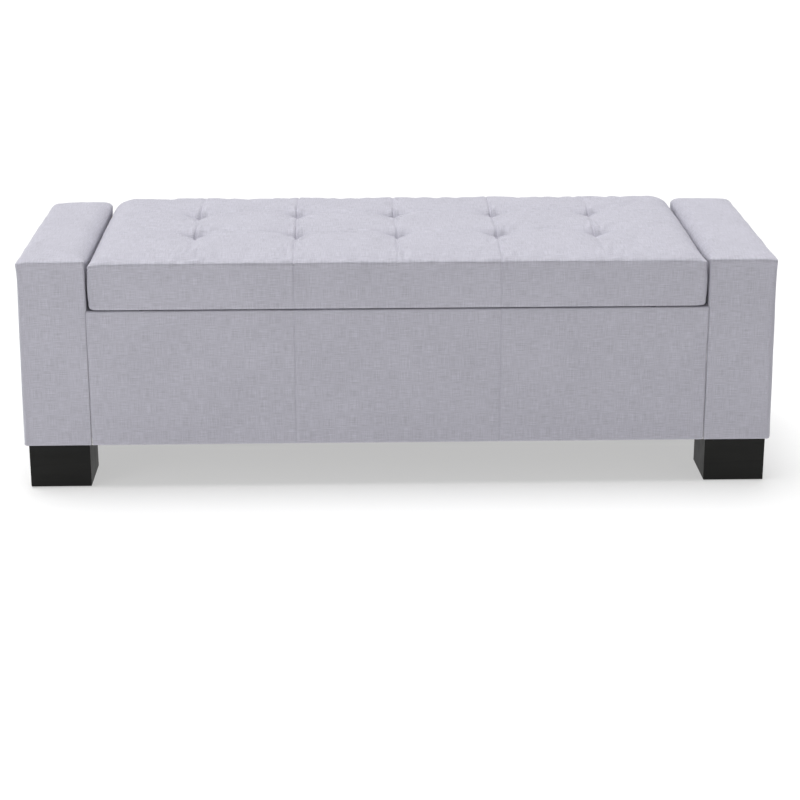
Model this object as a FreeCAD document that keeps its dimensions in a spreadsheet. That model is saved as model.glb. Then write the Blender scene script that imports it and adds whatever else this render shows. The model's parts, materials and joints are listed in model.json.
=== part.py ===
import FreeCAD, Part

import math
import os

import Sketcher
from FreeCAD import Placement, Rotation, Vector

# A storage bench: an upholstered box between two padded arms, under a hinged, tufted lid.
#
# The row frame has +X along the bench, -Y at the front and +Z up. The origin is on the floor,
# under the middle of the bench. Everything is in millimetres.
#
# The carcass is plywood. Each arm is a hollow box of five boards, and its inner board is also
# an end wall of the storage box. Front and back boards join the two arms, with a rail along
# the top edge of each, and the floor of the storage box stands on battens. Foam, wadding and
# fabric covers go round the boards. The lid is a board with a foam block, held by a fabric
# cover and drawn down at ten tufts. It turns on three butt hinges along the back and is
# steadied at both ends by a stay of two flat arms.

DRIVING_SIZES = {
    "bench_length": 1302,
    "bench_depth": 455,
    "arm_height": 413,
    "lid_height": 423,
    "seam_height": 404,
    "body_base": 79,
    "arm_width": 117,
    "lid_parting": 323,
    "parting_gap": 3,
    "side_gap": 4,
    "back_setback": 9,
    "board": 12,
    "floor_board": 9,
    "batten": 12,
    "fabric": 1.2,
    "felt": 0.6,
    "liner": 0.8,
    "wadding": 5,
    "arm_foam": 28,
    "rail_width": 20,
    "rail_height": 35,
    "hem": 25,
    "lid_hem": 30,
    "crown_run": 60,
    "lid_board_inset": 6,
    "foot_side": 106,
    "foot_inset": 5,
    "foot_edge": 1.5,
    "glide_radius": 14,
    "glide_height": 2,
    "block_depth": 80,
    "block_height": 20,
    "bolt_radius": 4,
    "bolt_depth": 40,
    "bolt_length": 61,
    "nut_bore": 4.1,
    "nut_barrel": 5,
    "nut_flange": 10.5,
    "nut_flange_height": 1.5,
    "nut_barrel_height": 9,
    "bumper_radius": 5,
    "bumper_offset": 440,
    "bumper_gap": 0.3,
    "hinge_offset": 400,
    "hinge_length": 76,
    "hinge_reach": 26,
    "leaf": 1.25,
    "knuckle": 4,
    "knuckle_gap": 0.3,
    "knuckle_clearance": 0.5,
    "pin_radius": 2,
    "pin_bore": 2.06,
    "screw_radius": 1.8,
    "screw_head": 3.6,
    "screw_head_height": 0.9,
    "screw_length": 14,
    "panel_screw_length": 50,
    "stay_forward": 58,
    "stay_drop": 70,
    "stay_reach": 170,
    "stay_dip": 13,
    "stay_bar": 2.5,
    "stay_half_width": 8,
    "stay_gap": 0.6,
    "plate": 2,
    "wall_plate_width": 28,
    "wall_plate_height": 46,
    "lid_plate_width": 24,
    "lid_plate_length": 44,
    "stay_pin": 3,
    "stay_bore": 3.05,
    "open_bore": 3.4,
    "rivet_head": 5.5,
    "rivet_head_height": 1.4,
    "tuft_pitch": 178,
    "tuft_row": 148,
    "tuft_depth": 15,
    "tie_radius": 0.9,
    "tie_hole": 2.5,
    "washer_radius": 12,
    "washer_height": 1,
}

SIDES = {"left": -1, "right": 1}
ENDS = {"front": -1, "rear": 1}
HINGES = {"left": -1, "centre": 0, "right": 1}
TUFT_COLUMNS = 5
TUFT_ROWS = 2
KNUCKLES = 5

doc = FreeCAD.newDocument("storage_bench")
dims = doc.addObject("Spreadsheet::Sheet", "dims")
for row, (alias, size) in enumerate(DRIVING_SIZES.items(), start=1):
    dims.set(f"A{row}", alias)
    dims.set(f"B{row}", str(size))
    dims.setAlias(f"B{row}", alias)
doc.recompute()

# Planes and places that several pieces share, as expressions on the sheet.
END = "dims.bench_length / 2"
ARM_INNER = f"({END} - dims.arm_width)"
ARM_BOARD_INNER = f"({ARM_INNER} + dims.fabric)"
ARM_BOARD_OUTER = f"({END} - dims.fabric - dims.wadding)"
COVER_OUTER = f"({END} - dims.fabric)"
FRONT = "(-dims.bench_depth / 2)"
REAR = "(dims.bench_depth / 2)"
FRONT_SKIN = f"({FRONT} + dims.fabric)"
REAR_SKIN = f"({REAR} - dims.fabric)"
FRONT_BOARD = f"({FRONT_SKIN} + dims.wadding)"
FRONT_WALL = f"({FRONT_BOARD} + dims.board)"
FRONT_RAIL = f"({FRONT_WALL} + dims.rail_width)"
ARM_REAR_BOARD = f"({REAR_SKIN} - dims.wadding)"
BACK = f"({REAR} - dims.back_setback)"
BACK_BOARD = f"({BACK} - dims.fabric)"
BACK_WALL = f"({BACK_BOARD} - dims.board)"
BACK_RAIL = f"({BACK_WALL} - dims.rail_width)"
BASE = "dims.body_base"
BOARD_BASE = f"({BASE} + dims.fabric)"
FLOOR_BASE = f"({BOARD_BASE} + dims.batten)"
FLOOR_TOP = f"({FLOOR_BASE} + dims.floor_board)"
BOX_TOP = "(dims.lid_parting - dims.parting_gap / 2)"
BOARD_TOP = f"({BOX_TOP} - dims.fabric)"
RAIL_BASE = f"({BOARD_TOP} - dims.rail_height)"
LID_BASE = "(dims.lid_parting + dims.parting_gap / 2)"
LID_BOARD_BASE = f"({LID_BASE} + dims.fabric)"
LID_FOAM_BASE = f"({LID_BOARD_BASE} + dims.board)"
LID_END = f"({ARM_INNER} - dims.side_gap)"
ARM_FOAM_BASE = "(dims.arm_height - dims.arm_foam - dims.fabric)"
ARM_TOP_BOARD = f"({ARM_FOAM_BASE} - dims.board)"
FOOT_TOP = f"({BASE} - dims.felt)"
FOOT_X = f"({END} - dims.foot_inset - dims.foot_side / 2)"
FOOT_Y = "(dims.bench_depth / 2 - dims.foot_inset - dims.foot_side / 2)"
BLOCK_TOP = f"({BOARD_BASE} + dims.block_height)"
HINGE_Y = f"({BACK} + dims.knuckle + dims.knuckle_clearance)"
STAY_WALL = f"({ARM_BOARD_INNER} - dims.liner - dims.plate)"
STAY_LOWER = f"({STAY_WALL} - dims.stay_gap - dims.stay_bar)"
STAY_UPPER = f"({STAY_LOWER} - dims.stay_gap - dims.stay_bar)"


def number(expression):
    """The value of an expression on the sheet, in millimetres or degrees."""
    result = dims.evalExpression(expression)
    return float(getattr(result, "Value", result))


def place(piece, x, y, z):
    """Binds the place of a piece to expressions."""
    for axis, expression in zip("xyz", (x, y, z)):
        piece.setExpression(f"Placement.Base.{axis}", expression)
    return piece


def across(side, inner, outer):
    """The span from inner to outer on one side of the bench, lowest first."""
    return (inner, outer) if side > 0 else (f"-({outer})", f"-({inner})")


def signed(side, expression):
    """The expression on the side that the sign gives."""
    return expression if side > 0 else f"-({expression})"


def block(label, x, y, z):
    """A rectangular piece between pairs of planes."""
    box = doc.addObject("Part::Box", label)
    for size, (low, high) in zip(("Length", "Width", "Height"), (x, y, z)):
        box.setExpression(size, f"{high} - ({low})")
    return place(box, x[0], y[0], z[0])


def rod(label, radius, length, at, along="z"):
    """A round piece that starts at a point and runs along +X or +Z."""
    cylinder = doc.addObject("Part::Cylinder", label)
    cylinder.setExpression("Radius", radius)
    cylinder.setExpression("Height", length)
    if along == "x":
        cylinder.Placement = Placement(Vector(), Rotation(Vector(0, 1, 0), 90))
    return place(cylinder, *at)


def joined(label, pieces):
    """One solid from several that touch or overlap."""
    fuse = doc.addObject("Part::MultiFuse", label)
    fuse.Shapes = pieces
    return fuse


def cut(label, base, tools):
    """A piece with others taken away from it."""
    tool = tools[0] if len(tools) == 1 else joined(f"{label}_tools", tools)
    taken = doc.addObject("Part::Cut", label)
    taken.Base = base
    taken.Tool = tool
    return taken


def group(label, pieces):
    """Separate solids that share one node."""
    compound = doc.addObject("Part::Compound", label)
    compound.Links = pieces
    return compound


def screw(label, at, along, way, length="dims.screw_length"):
    """A wood screw whose flat head is flush with a face and whose shank runs along X or Z.

    at is the middle of the head's face, and way is 1 or -1 along the axis.
    """
    axis = "xyz".index(along)
    pieces = []
    for name, radius, size in (
        ("head", "dims.screw_head", "dims.screw_head_height"),
        ("shank", "dims.screw_radius", length),
    ):
        start = list(at)
        if way < 0:
            start[axis] = f"{at[axis]} - {size}"
        pieces.append(rod(f"{label}_{name}", radius, size, start, along))
    return joined(label, pieces)


def body_at(label, x, y, z):
    """A PartDesign body with its local origin at a place."""
    return place(doc.addObject("PartDesign::Body", label), x, y, z)


def sketch_on(body, role="XY_Plane", lift=None):
    """A sketch on one of the body's own origin planes, lifted off it if asked."""
    sketch = body.newObject("Sketcher::SketchObject", f"{body.Name}_sketch")
    plane = next(p for p in body.Origin.OriginFeatures if p.Role == role)
    sketch.AttachmentSupport = [(plane, "")]
    sketch.MapMode = "FlatFace"
    if lift is not None:
        sketch.setExpression("AttachmentOffset.Base.z", lift)
    return sketch


def fix_point(sketch, geometry, point, x, y):
    """Ties a sketch point to its distances from the sketch origin."""
    for kind, expression in (("DistanceX", x), ("DistanceY", y)):
        index = sketch.addConstraint(
            Sketcher.Constraint(kind, -1, 1, geometry, point, number(expression))
        )
        sketch.setExpression(f"Constraints[{index}]", expression)


def polygon(sketch, corners):
    """A closed outline through corners whose coordinates are expressions."""
    points = [Vector(number(x), number(y), 0) for x, y in corners]
    first = sketch.GeometryCount
    for start, end in zip(points, points[1:] + points[:1]):
        sketch.addGeometry(Part.LineSegment(start, end), False)
    for index, (x, y) in enumerate(corners):
        line = first + index
        following = first + (index + 1) % len(corners)
        sketch.addConstraint(Sketcher.Constraint("Coincident", line, 2, following, 1))
        fix_point(sketch, line, 1, x, y)


def rectangle(sketch, x, y):
    """A rectangle between two pairs of expressions."""
    polygon(sketch, [(x[0], y[0]), (x[1], y[0]), (x[1], y[1]), (x[0], y[1])])


def circle(sketch, x, y, radius):
    """A circle whose centre and radius are expressions."""
    centre = Vector(number(x), number(y), 0)
    normal = Vector(0, 0, 1)
    index = sketch.addGeometry(Part.Circle(centre, normal, number(radius)), False)
    fix_point(sketch, index, 3, x, y)
    size = sketch.addConstraint(Sketcher.Constraint("Radius", index, number(radius)))
    sketch.setExpression(f"Constraints[{size}]", radius)


def slot(sketch, reach, radius):
    """A flat bar's outline: half circles round the origin and a point at reach along Y."""
    far = number(reach)
    wide = number(radius)
    up = Vector(0, 0, 1)
    ends = (Part.Circle(Vector(), up, wide), Part.Circle(Vector(far, 0, 0), up, wide))
    near_arc = sketch.addGeometry(Part.ArcOfCircle(ends[0], math.pi / 2, 3 * math.pi / 2), False)
    far_arc = sketch.addGeometry(Part.ArcOfCircle(ends[1], -math.pi / 2, math.pi / 2), False)
    low = Part.LineSegment(Vector(0, -wide, 0), Vector(far, -wide, 0))
    high = Part.LineSegment(Vector(far, wide, 0), Vector(0, wide, 0))
    low_line = sketch.addGeometry(low, False)
    high_line = sketch.addGeometry(high, False)
    for one, one_end, other, other_end in (
        (near_arc, 2, low_line, 1),
        (low_line, 2, far_arc, 1),
        (far_arc, 2, high_line, 1),
        (high_line, 2, near_arc, 1),
    ):
        sketch.addConstraint(Sketcher.Constraint("Tangent", one, one_end, other, other_end))
    sketch.addConstraint(Sketcher.Constraint("Coincident", near_arc, 3, -1, 1))
    fix_point(sketch, far_arc, 3, reach, "0")
    size = sketch.addConstraint(Sketcher.Constraint("Radius", near_arc, wide))
    sketch.setExpression(f"Constraints[{size}]", radius)


def pad(body, sketch, length, both_ways=False):
    """Raises a sketch into the body, one way or evenly both ways."""
    raised = body.newObject("PartDesign::Pad", f"{body.Name}_pad")
    raised.Profile = sketch
    raised.setExpression("Length", length)
    if both_ways:
        raised.SideType = "Symmetric"
    doc.recompute()
    return raised


def pocket(body, sketch):
    """Cuts a sketch right through the body, both ways."""
    before = body.Shape.Volume
    hollow = body.newObject("PartDesign::Pocket", f"{body.Name}_pocket")
    hollow.Profile = sketch
    hollow.Type = "ThroughAll"
    hollow.SideType = "Symmetric"
    doc.recompute()
    if body.Shape.Volume >= before:
        raise ValueError(f"{hollow.Name} cuts nothing")
    return hollow


def edges_where(shape, chosen):
    """The names of the edges whose middle passes a test."""
    found = []
    for index, edge in enumerate(shape.Edges, start=1):
        if chosen(edge.CenterOfMass):
            found.append(f"Edge{index}")
    return found


def carcass():
    """The boards, rails and battens of the storage box."""
    inside = (f"-{ARM_BOARD_INNER}", ARM_BOARD_INNER)
    rise = (BOARD_BASE, BOARD_TOP)
    depth = (FRONT_WALL, BACK_WALL)
    under = (BOARD_BASE, FLOOR_BASE)
    rail_rise = (RAIL_BASE, BOARD_TOP)
    front_batten = (FRONT_WALL, f"{FRONT_WALL} + dims.rail_width")
    back_batten = (f"{BACK_WALL} - dims.rail_width", BACK_WALL)
    end_batten = (front_batten[1], back_batten[0])
    battens = [
        block("front_batten", inside, front_batten, under),
        block("back_batten", inside, back_batten, under),
    ]
    for name, side in SIDES.items():
        span = across(side, f"{ARM_BOARD_INNER} - dims.rail_width", ARM_BOARD_INNER)
        battens.append(block(f"{name}_batten", span, end_batten, under))
    return [
        block("front_board", inside, (FRONT_BOARD, FRONT_WALL), rise),
        block("back_board", inside, (BACK_WALL, BACK_BOARD), rise),
        block("storage_floor", inside, depth, (FLOOR_BASE, FLOOR_TOP)),
        block("front_rail", inside, (FRONT_WALL, FRONT_RAIL), rail_rise),
        block("hinge_rail", inside, (BACK_RAIL, BACK_WALL), rail_rise),
        group("floor_battens", battens),
    ]


def arm_boards(name, side):
    """The five boards of one hollow arm. The inner board is an end wall of the box."""
    rise = (BOARD_BASE, ARM_TOP_BOARD)
    depth = (FRONT_BOARD, ARM_REAR_BOARD)
    inner_face = f"({ARM_BOARD_INNER} + dims.board)"
    outer_face = f"({ARM_BOARD_OUTER} - dims.board)"
    between = across(side, inner_face, outer_face)
    front = (FRONT_BOARD, FRONT_WALL)
    rear = (f"{ARM_REAR_BOARD} - dims.board", ARM_REAR_BOARD)
    whole = across(side, ARM_BOARD_INNER, ARM_BOARD_OUTER)
    inner = across(side, ARM_BOARD_INNER, inner_face)
    outer = across(side, outer_face, ARM_BOARD_OUTER)
    return [
        block(f"{name}_arm_inner_board", inner, depth, rise),
        block(f"{name}_arm_outer_board", outer, depth, rise),
        block(f"{name}_arm_front_board", between, front, rise),
        block(f"{name}_arm_rear_board", between, rear, rise),
        block(f"{name}_arm_top_board", whole, depth, (ARM_TOP_BOARD, ARM_FOAM_BASE)),
    ]


def padded_block(label, x, y, z, crown):
    """A block whose top slopes in from all four sides: crown is (the drop, the run)."""
    drop, run = crown
    shoulder = f"({z[1]} - {drop})"
    slopes = doc.addObject("Part::Wedge", f"{label}_slopes")
    slopes.Placement = Placement(Vector(), Rotation(Vector(1, 0, 0), 90))
    for prop, expression in (
        ("Xmin", x[0]),
        ("Xmax", x[1]),
        ("X2min", f"{x[0]} + {run}"),
        ("X2max", f"{x[1]} - {run}"),
        ("Ymin", shoulder),
        ("Ymax", z[1]),
        ("Zmin", f"-({y[1]})"),
        ("Zmax", f"-({y[0]})"),
        ("Z2min", f"-({y[1]}) + {run}"),
        ("Z2max", f"-({y[0]}) - {run}"),
    ):
        slopes.setExpression(prop, expression)
    return joined(label, [block(f"{label}_block", x, y, (z[0], shoulder)), slopes])


def arm_padding(name, side):
    """The foam on top of an arm, and the wadding round its front, outside and rear."""
    whole = across(side, ARM_BOARD_INNER, COVER_OUTER)
    foam = (ARM_FOAM_BASE, "(dims.arm_height - dims.fabric)")
    drop = "(dims.arm_height - dims.seam_height)"
    around = block(
        f"{name}_wadding_outside", whole, (FRONT_SKIN, REAR_SKIN), (BOARD_BASE, ARM_FOAM_BASE)
    )
    inside = across(side, f"{ARM_BOARD_INNER} - 1", ARM_BOARD_OUTER)
    core = block(
        f"{name}_wadding_inside", inside, (FRONT_BOARD, ARM_REAR_BOARD), (BASE, ARM_FOAM_BASE)
    )
    return [
        padded_block(f"{name}_arm_foam", whole, (FRONT_SKIN, REAR_SKIN), foam, (drop, f"2 * {drop}")),
        cut(f"{name}_arm_wadding", around, [core]),
    ]


def arm_cover(name, side):
    """The fabric of an arm: top, front, outside, rear and the inner face down to the liner.

    Where the fabric of the box wraps over its rails, the inner face stops above it.
    """
    outside = across(side, ARM_INNER, END)
    inside = across(side, ARM_BOARD_INNER, COVER_OUTER)
    drop = "(dims.arm_height - dims.seam_height)"
    slope = (drop, f"2 * {drop}")
    top = "dims.arm_height"
    shell = padded_block(f"{name}_cover_outside", outside, (FRONT, REAR), (BASE, top), slope)
    within = (BOARD_BASE, f"({top} - dims.fabric)")
    filling = padded_block(f"{name}_cover_inside", inside, (FRONT_SKIN, REAR_SKIN), within, slope)
    box_side = across(side, f"{ARM_INNER} - 1", ARM_BOARD_INNER)
    between_rails = (f"({FRONT_RAIL} + dims.fabric)", f"({BACK_RAIL} - dims.fabric)")
    open_side = [
        block(f"{name}_cover_open_side", box_side, (f"{FRONT} - 1", BACK), ("0", RAIL_BASE)),
        block(f"{name}_cover_front_rail", box_side, (f"{FRONT} - 1", between_rails[0]), ("0", BOX_TOP)),
        block(f"{name}_cover_hinge_rail", box_side, (between_rails[1], BACK), ("0", BOX_TOP)),
    ]
    under = across(side, f"{ARM_INNER} - 1", f"{END} - dims.hem")
    underside = block(
        f"{name}_cover_underside",
        under,
        (f"{FRONT} + dims.hem", f"{REAR} - dims.hem"),
        (f"{BASE} - 1", f"{BOARD_BASE} + 1"),
    )
    return cut(f"{name}_arm_cover", shell, [filling, underside] + open_side)


def wrapped_cover(label, outside, side_skin, rail_face):
    """A fabric panel that wraps over the top edge, down behind the rail and under the base.

    Its section is worked out in the plane across the bench and carried along it.
    """
    inward = 1 if number(rail_face) > number(outside) else -1
    inner_wrap = f"({rail_face} + {inward} * dims.fabric)"
    under = f"({outside} + {inward} * dims.hem)"
    section = [
        (outside, BASE),
        (outside, BOX_TOP),
        (inner_wrap, BOX_TOP),
        (inner_wrap, RAIL_BASE),
        (rail_face, RAIL_BASE),
        (rail_face, BOARD_TOP),
        (side_skin, BOARD_TOP),
        (side_skin, BOARD_BASE),
        (under, BOARD_BASE),
        (under, BASE),
    ]
    body = body_at(label, "0", "0", "0")
    sketch = sketch_on(body, "YZ_Plane")
    polygon(sketch, section)
    pad(body, sketch, f"2 * {ARM_BOARD_INNER}", both_ways=True)
    return body


def box_fabric():
    """The covers of the box's front and back, the front wadding and the liner."""
    inside = (f"-{ARM_BOARD_INNER}", ARM_BOARD_INNER)
    tray = block("liner_outside", inside, (FRONT_WALL, BACK_WALL), (FLOOR_TOP, RAIL_BASE))
    hollow = block(
        "liner_inside",
        (f"-{ARM_BOARD_INNER} + dims.liner", f"{ARM_BOARD_INNER} - dims.liner"),
        (f"{FRONT_WALL} + dims.liner", f"{BACK_WALL} - dims.liner"),
        (f"{FLOOR_TOP} + dims.liner", f"{RAIL_BASE} + 1"),
    )
    return [
        block("front_wadding", inside, (FRONT_SKIN, FRONT_BOARD), (BOARD_BASE, BOARD_TOP)),
        wrapped_cover("front_cover", FRONT, FRONT_SKIN, FRONT_RAIL),
        wrapped_cover("back_cover", BACK, BACK_BOARD, BACK_RAIL),
        cut("storage_liner", tray, [hollow]),
    ]


def foot_places():
    """The centres of the four feet, as expressions."""
    return [
        (f"{end_name}_{side_name}", signed(side, FOOT_X), signed(end, FOOT_Y))
        for end_name, end in ENDS.items()
        for side_name, side in SIDES.items()
    ]


def foot(name, x, y):
    """A square block foot with broken edges and a blind hole for its bolt."""
    half = "dims.foot_side / 2"
    body = body_at(f"{name}_foot", f"{x} - {half}", f"{y} - {half}", "dims.glide_height")
    sketch = sketch_on(body)
    rectangle(sketch, ("0", "dims.foot_side"), ("0", "dims.foot_side"))
    solid = pad(body, sketch, f"{FOOT_TOP} - dims.glide_height")
    top = number(f"{FOOT_TOP} - dims.glide_height")
    rounded = body.newObject("PartDesign::Fillet", f"{name}_foot_edges")
    rounded.Base = (solid, edges_where(body.Shape, lambda p: p.z < top - 0.01))
    rounded.setExpression("Radius", "dims.foot_edge")
    doc.recompute()
    hole_sketch = sketch_on(body, lift=f"{FOOT_TOP} - dims.glide_height - dims.bolt_depth")
    circle(hole_sketch, half, half, "dims.bolt_radius")
    before = body.Shape.Volume
    hole = body.newObject("PartDesign::Pocket", f"{name}_foot_hole")
    hole.Profile = hole_sketch
    hole.Reversed = True
    hole.setExpression("Length", "dims.bolt_depth")
    doc.recompute()
    if body.Shape.Volume >= before:
        raise ValueError(f"{hole.Name} cuts nothing")
    return body


def t_nut(label, x, y):
    """A T-nut: a threaded barrel let into a foot block, under a flange on top of it."""
    barrel_base = f"({BLOCK_TOP} - dims.nut_barrel_height)"
    barrel = rod(f"{label}_barrel", "dims.nut_barrel", "dims.nut_barrel_height", (x, y, barrel_base))
    flange = rod(f"{label}_flange", "dims.nut_flange", "dims.nut_flange_height", (x, y, BLOCK_TOP))
    bore = rod(f"{label}_bore", "dims.nut_bore", "3 * dims.nut_barrel_height", (x, y, f"{barrel_base} - 1"))
    return cut(label, joined(f"{label}_solid", [flange, barrel]), [bore])


def foot_block(name, x, y):
    """The wooden block inside the arm that a foot is bolted to, drilled for its T-nut."""
    side = 1 if number(x) > 0 else -1
    span = across(side, f"{ARM_BOARD_INNER} + dims.board", f"{ARM_BOARD_OUTER} - dims.board")
    rear_wall = f"({ARM_REAR_BOARD} - dims.board)"
    depth = (FRONT_WALL, f"{FRONT_WALL} + dims.block_depth")
    if number(y) > 0:
        depth = (f"{rear_wall} - dims.block_depth", rear_wall)
    wood = block(f"{name}_block_wood", span, depth, (BOARD_BASE, BLOCK_TOP))
    hole = rod(f"{name}_block_hole", "dims.nut_barrel", "2 * dims.block_height", (x, y, BASE))
    return cut(f"{name}_block", wood, [hole])


def feet():
    """The four feet with the hardware that fixes them, and the cover over the underside."""
    nodes = []
    hardware = {"foot_blocks": [], "foot_bolts": [], "foot_nuts": [], "foot_glides": []}
    holes = []
    low = f"({FOOT_TOP} - dims.bolt_depth)"
    for name, x, y in foot_places():
        nodes.append(foot(name, x, y))
        hardware["foot_blocks"].append(foot_block(name, x, y))
        hardware["foot_bolts"].append(
            rod(f"{name}_bolt", "dims.bolt_radius", "dims.bolt_length", (x, y, low))
        )
        hardware["foot_nuts"].append(t_nut(f"{name}_nut", x, y))
        hardware["foot_glides"].append(
            rod(f"{name}_glide", "dims.glide_radius", "dims.glide_height", (x, y, "0"))
        )
        below = (x, y, f"{FOOT_TOP} - 1")
        holes.append(rod(f"{name}_felt_hole", "dims.nut_barrel", "4 * dims.felt", below))
    margin = "dims.hem / 2"
    felt = block(
        "felt_sheet",
        (f"-{END} + {margin}", f"{END} - {margin}"),
        (f"{FRONT} + {margin}", f"{BACK} - {margin}"),
        (FOOT_TOP, BASE),
    )
    nodes += [group(label, pieces) for label, pieces in hardware.items()]
    nodes.append(cut("underside_cover", felt, holes))
    return nodes


def lid():
    """The lid's board, foam, fabric and underside cover.

    The foam lies on the board and wraps down round its edges.
    """
    inside = (f"-{LID_END} + dims.fabric", f"{LID_END} - dims.fabric")
    depth = (FRONT_SKIN, BACK_BOARD)
    slope = ("(dims.lid_height - dims.seam_height)", "dims.crown_run")
    inset = "dims.lid_board_inset"
    board_span = (f"({inside[0]} + {inset})", f"({inside[1]} - {inset})")
    board_depth = (f"({depth[0]} + {inset})", depth[1])
    board = body_at("lid_board", board_span[0], board_depth[0], LID_BOARD_BASE)
    outline = sketch_on(board)
    width, reach = f"{board_span[1]} - {board_span[0]}", f"{board_depth[1]} - {board_depth[0]}"
    rectangle(outline, ("0", width), ("0", reach))
    pad(board, outline, "dims.board")
    holes = sketch_on(board)
    for x, y in tuft_places():
        circle(holes, f"{x} - {board_span[0]}", f"{y} - {board_depth[0]}", "dims.tie_hole")
    pocket(board, holes)
    top = "(dims.lid_height - dims.fabric)"
    uncut = padded_block("lid_foam_uncut", inside, depth, (LID_BOARD_BASE, top), slope)
    bores = [
        rod(f"tuft_bore_{index}", "dims.tie_hole", "dims.lid_height", (x, y, "0"))
        for index, (x, y) in enumerate(tuft_places(), start=1)
    ]
    rebate = block("lid_foam_rebate", board_span, board_depth, ("0", LID_FOAM_BASE))
    foam = cut("lid_foam", uncut, bores + [rebate])
    shell = padded_block(
        "lid_cover_outside", (f"-{LID_END}", LID_END), (FRONT, BACK), (LID_BASE, "dims.lid_height"), slope
    )
    filling = padded_block("lid_cover_inside", inside, depth, (LID_BOARD_BASE, top), slope)
    opening = block(
        "lid_cover_opening",
        (f"-{LID_END} + dims.lid_hem", f"{LID_END} - dims.lid_hem"),
        (f"{FRONT} + dims.lid_hem", f"{BACK} - dims.lid_hem"),
        (f"{LID_BASE} - 1", f"{LID_BOARD_BASE} + 1"),
    )
    margin = "(dims.lid_hem * 0.75)"
    felt = block(
        "lid_underside_cover",
        (f"-{LID_END} + {margin}", f"{LID_END} - {margin}"),
        (f"{FRONT} + {margin}", f"{BACK} - {margin}"),
        (f"{LID_BASE} - dims.felt", LID_BASE),
    )
    return [board, foam, cut("lid_cover", shell, [filling, opening]), felt]


def tuft_places():
    """Where the tufts are, as expressions: five columns, centred, in two rows."""
    middle = f"(({FRONT} + {BACK}) / 2)"
    return [
        (
            f"{column - (TUFT_COLUMNS - 1) / 2} * dims.tuft_pitch",
            f"{middle} + {row - (TUFT_ROWS - 1) / 2} * dims.tuft_row",
        )
        for row in range(TUFT_ROWS)
        for column in range(TUFT_COLUMNS)
    ]


def tufts():
    """The ties that draw the cover down, and the washers that hold them under the board."""
    ties = []
    washers = []
    low = f"({LID_BOARD_BASE} - dims.washer_height)"
    length = f"(dims.lid_height - dims.tuft_depth - {low})"
    for index, (x, y) in enumerate(tuft_places(), start=1):
        ties.append(rod(f"tuft_tie_{index}", "dims.tie_radius", length, (x, y, low)))
        disc = rod(f"washer_disc_{index}", "dims.washer_radius", "dims.washer_height", (x, y, low))
        eye_base = (x, y, f"{low} - dims.washer_height")
        eye = rod(f"washer_eye_{index}", "dims.tie_radius", "3 * dims.washer_height", eye_base)
        washers.append(cut(f"washer_{index}", disc, [eye]))
    return [group("tuft_ties", ties), group("tuft_washers", washers)]


def hinge_leaf(label, x, leaf_sign, own_knuckles):
    """A leaf with its own knuckles. leaf_sign is -1 for the box's leaf and 1 for the lid's."""
    body = body_at(label, x, HINGE_Y, "dims.lid_parting")
    half_gap = "dims.parting_gap / 2"
    low = f"{half_gap} - dims.leaf" if leaf_sign > 0 else f"-{half_gap}"
    high = half_gap if leaf_sign > 0 else f"-{half_gap} + dims.leaf"
    flat = sketch_on(body, "YZ_Plane")
    rectangle(flat, ("-dims.hinge_reach", "-dims.pin_bore"), (low, high))
    pad(body, flat, "dims.hinge_length", both_ways=True)
    barrel = sketch_on(body, "YZ_Plane")
    circle(barrel, "0", "0", "dims.knuckle")
    pad(body, barrel, "dims.hinge_length", both_ways=True)
    gaps = sketch_on(body)
    step = f"(dims.hinge_length / {KNUCKLES})"
    clear = "dims.knuckle_gap"
    for index in range(KNUCKLES):
        if index in own_knuckles:
            continue
        start = f"-dims.hinge_length / 2 + {index} * {step} - {clear}"
        end = f"-dims.hinge_length / 2 + {index + 1} * {step} + {clear}"
        reach = ("-dims.knuckle - dims.knuckle_clearance", "2 * dims.knuckle")
        rectangle(gaps, (start, end), reach)
    pocket(body, gaps)
    bore = sketch_on(body, "YZ_Plane")
    circle(bore, "0", "0", "dims.pin_bore")
    pocket(body, bore)
    return body


def leaf_screws(name, x, leaf_sign):
    """The two screws that hold a leaf, with their heads flush with its inner face."""
    face = f"(dims.lid_parting + {leaf_sign} * (dims.parting_gap / 2 - dims.leaf))"
    y = f"({BACK_BOARD} - dims.board / 2)"
    return [
        screw(f"{name}_screw_{index}", (f"{x} + {way} * dims.hinge_length / 3", y, face), "z", leaf_sign)
        for index, way in enumerate((-1, 1), start=1)
    ]


def hinges():
    """Three butt hinges: a leaf on the box, a leaf on the lid and a pin each, with screws."""
    box_leaves = []
    lid_leaves = []
    box_screws = []
    lid_screws = []
    pins = []
    outer = [index for index in range(KNUCKLES) if index % 2 == 0]
    inner = [index for index in range(KNUCKLES) if index % 2 == 1]
    head = "dims.rivet_head_height"
    for name, place_sign in HINGES.items():
        x = f"{place_sign} * dims.hinge_offset"
        for half, leaf_sign, knuckles, leaves, held in (
            ("box", -1, outer, box_leaves, box_screws),
            ("lid", 1, inner, lid_leaves, lid_screws),
        ):
            fixings = leaf_screws(f"{name}_{half}", x, leaf_sign)
            blank = hinge_leaf(f"{name}_{half}_leaf_blank", x, leaf_sign, knuckles)
            leaves.append(cut(f"{name}_{half}_leaf", blank, fixings))
            held += fixings
        start = f"{x} - dims.hinge_length / 2 - {head}"
        length = f"dims.hinge_length + 2 * {head}"
        axis = (HINGE_Y, "dims.lid_parting")
        shaft = rod(f"{name}_shaft", "dims.pin_radius", length, (start, *axis), "x")
        caps = [
            rod(f"{name}_cap_{index}", "1.5 * dims.pin_radius", head, (at, *axis), "x")
            for index, at in enumerate((start, f"{x} + dims.hinge_length / 2"))
        ]
        pins.append(joined(f"{name}_pin", [shaft] + caps))
    nodes = [
        group("hinge_box_leaves", box_leaves),
        group("hinge_lid_leaves", lid_leaves),
        group("hinge_pins", pins),
    ]
    return nodes, box_screws, lid_screws


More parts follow.
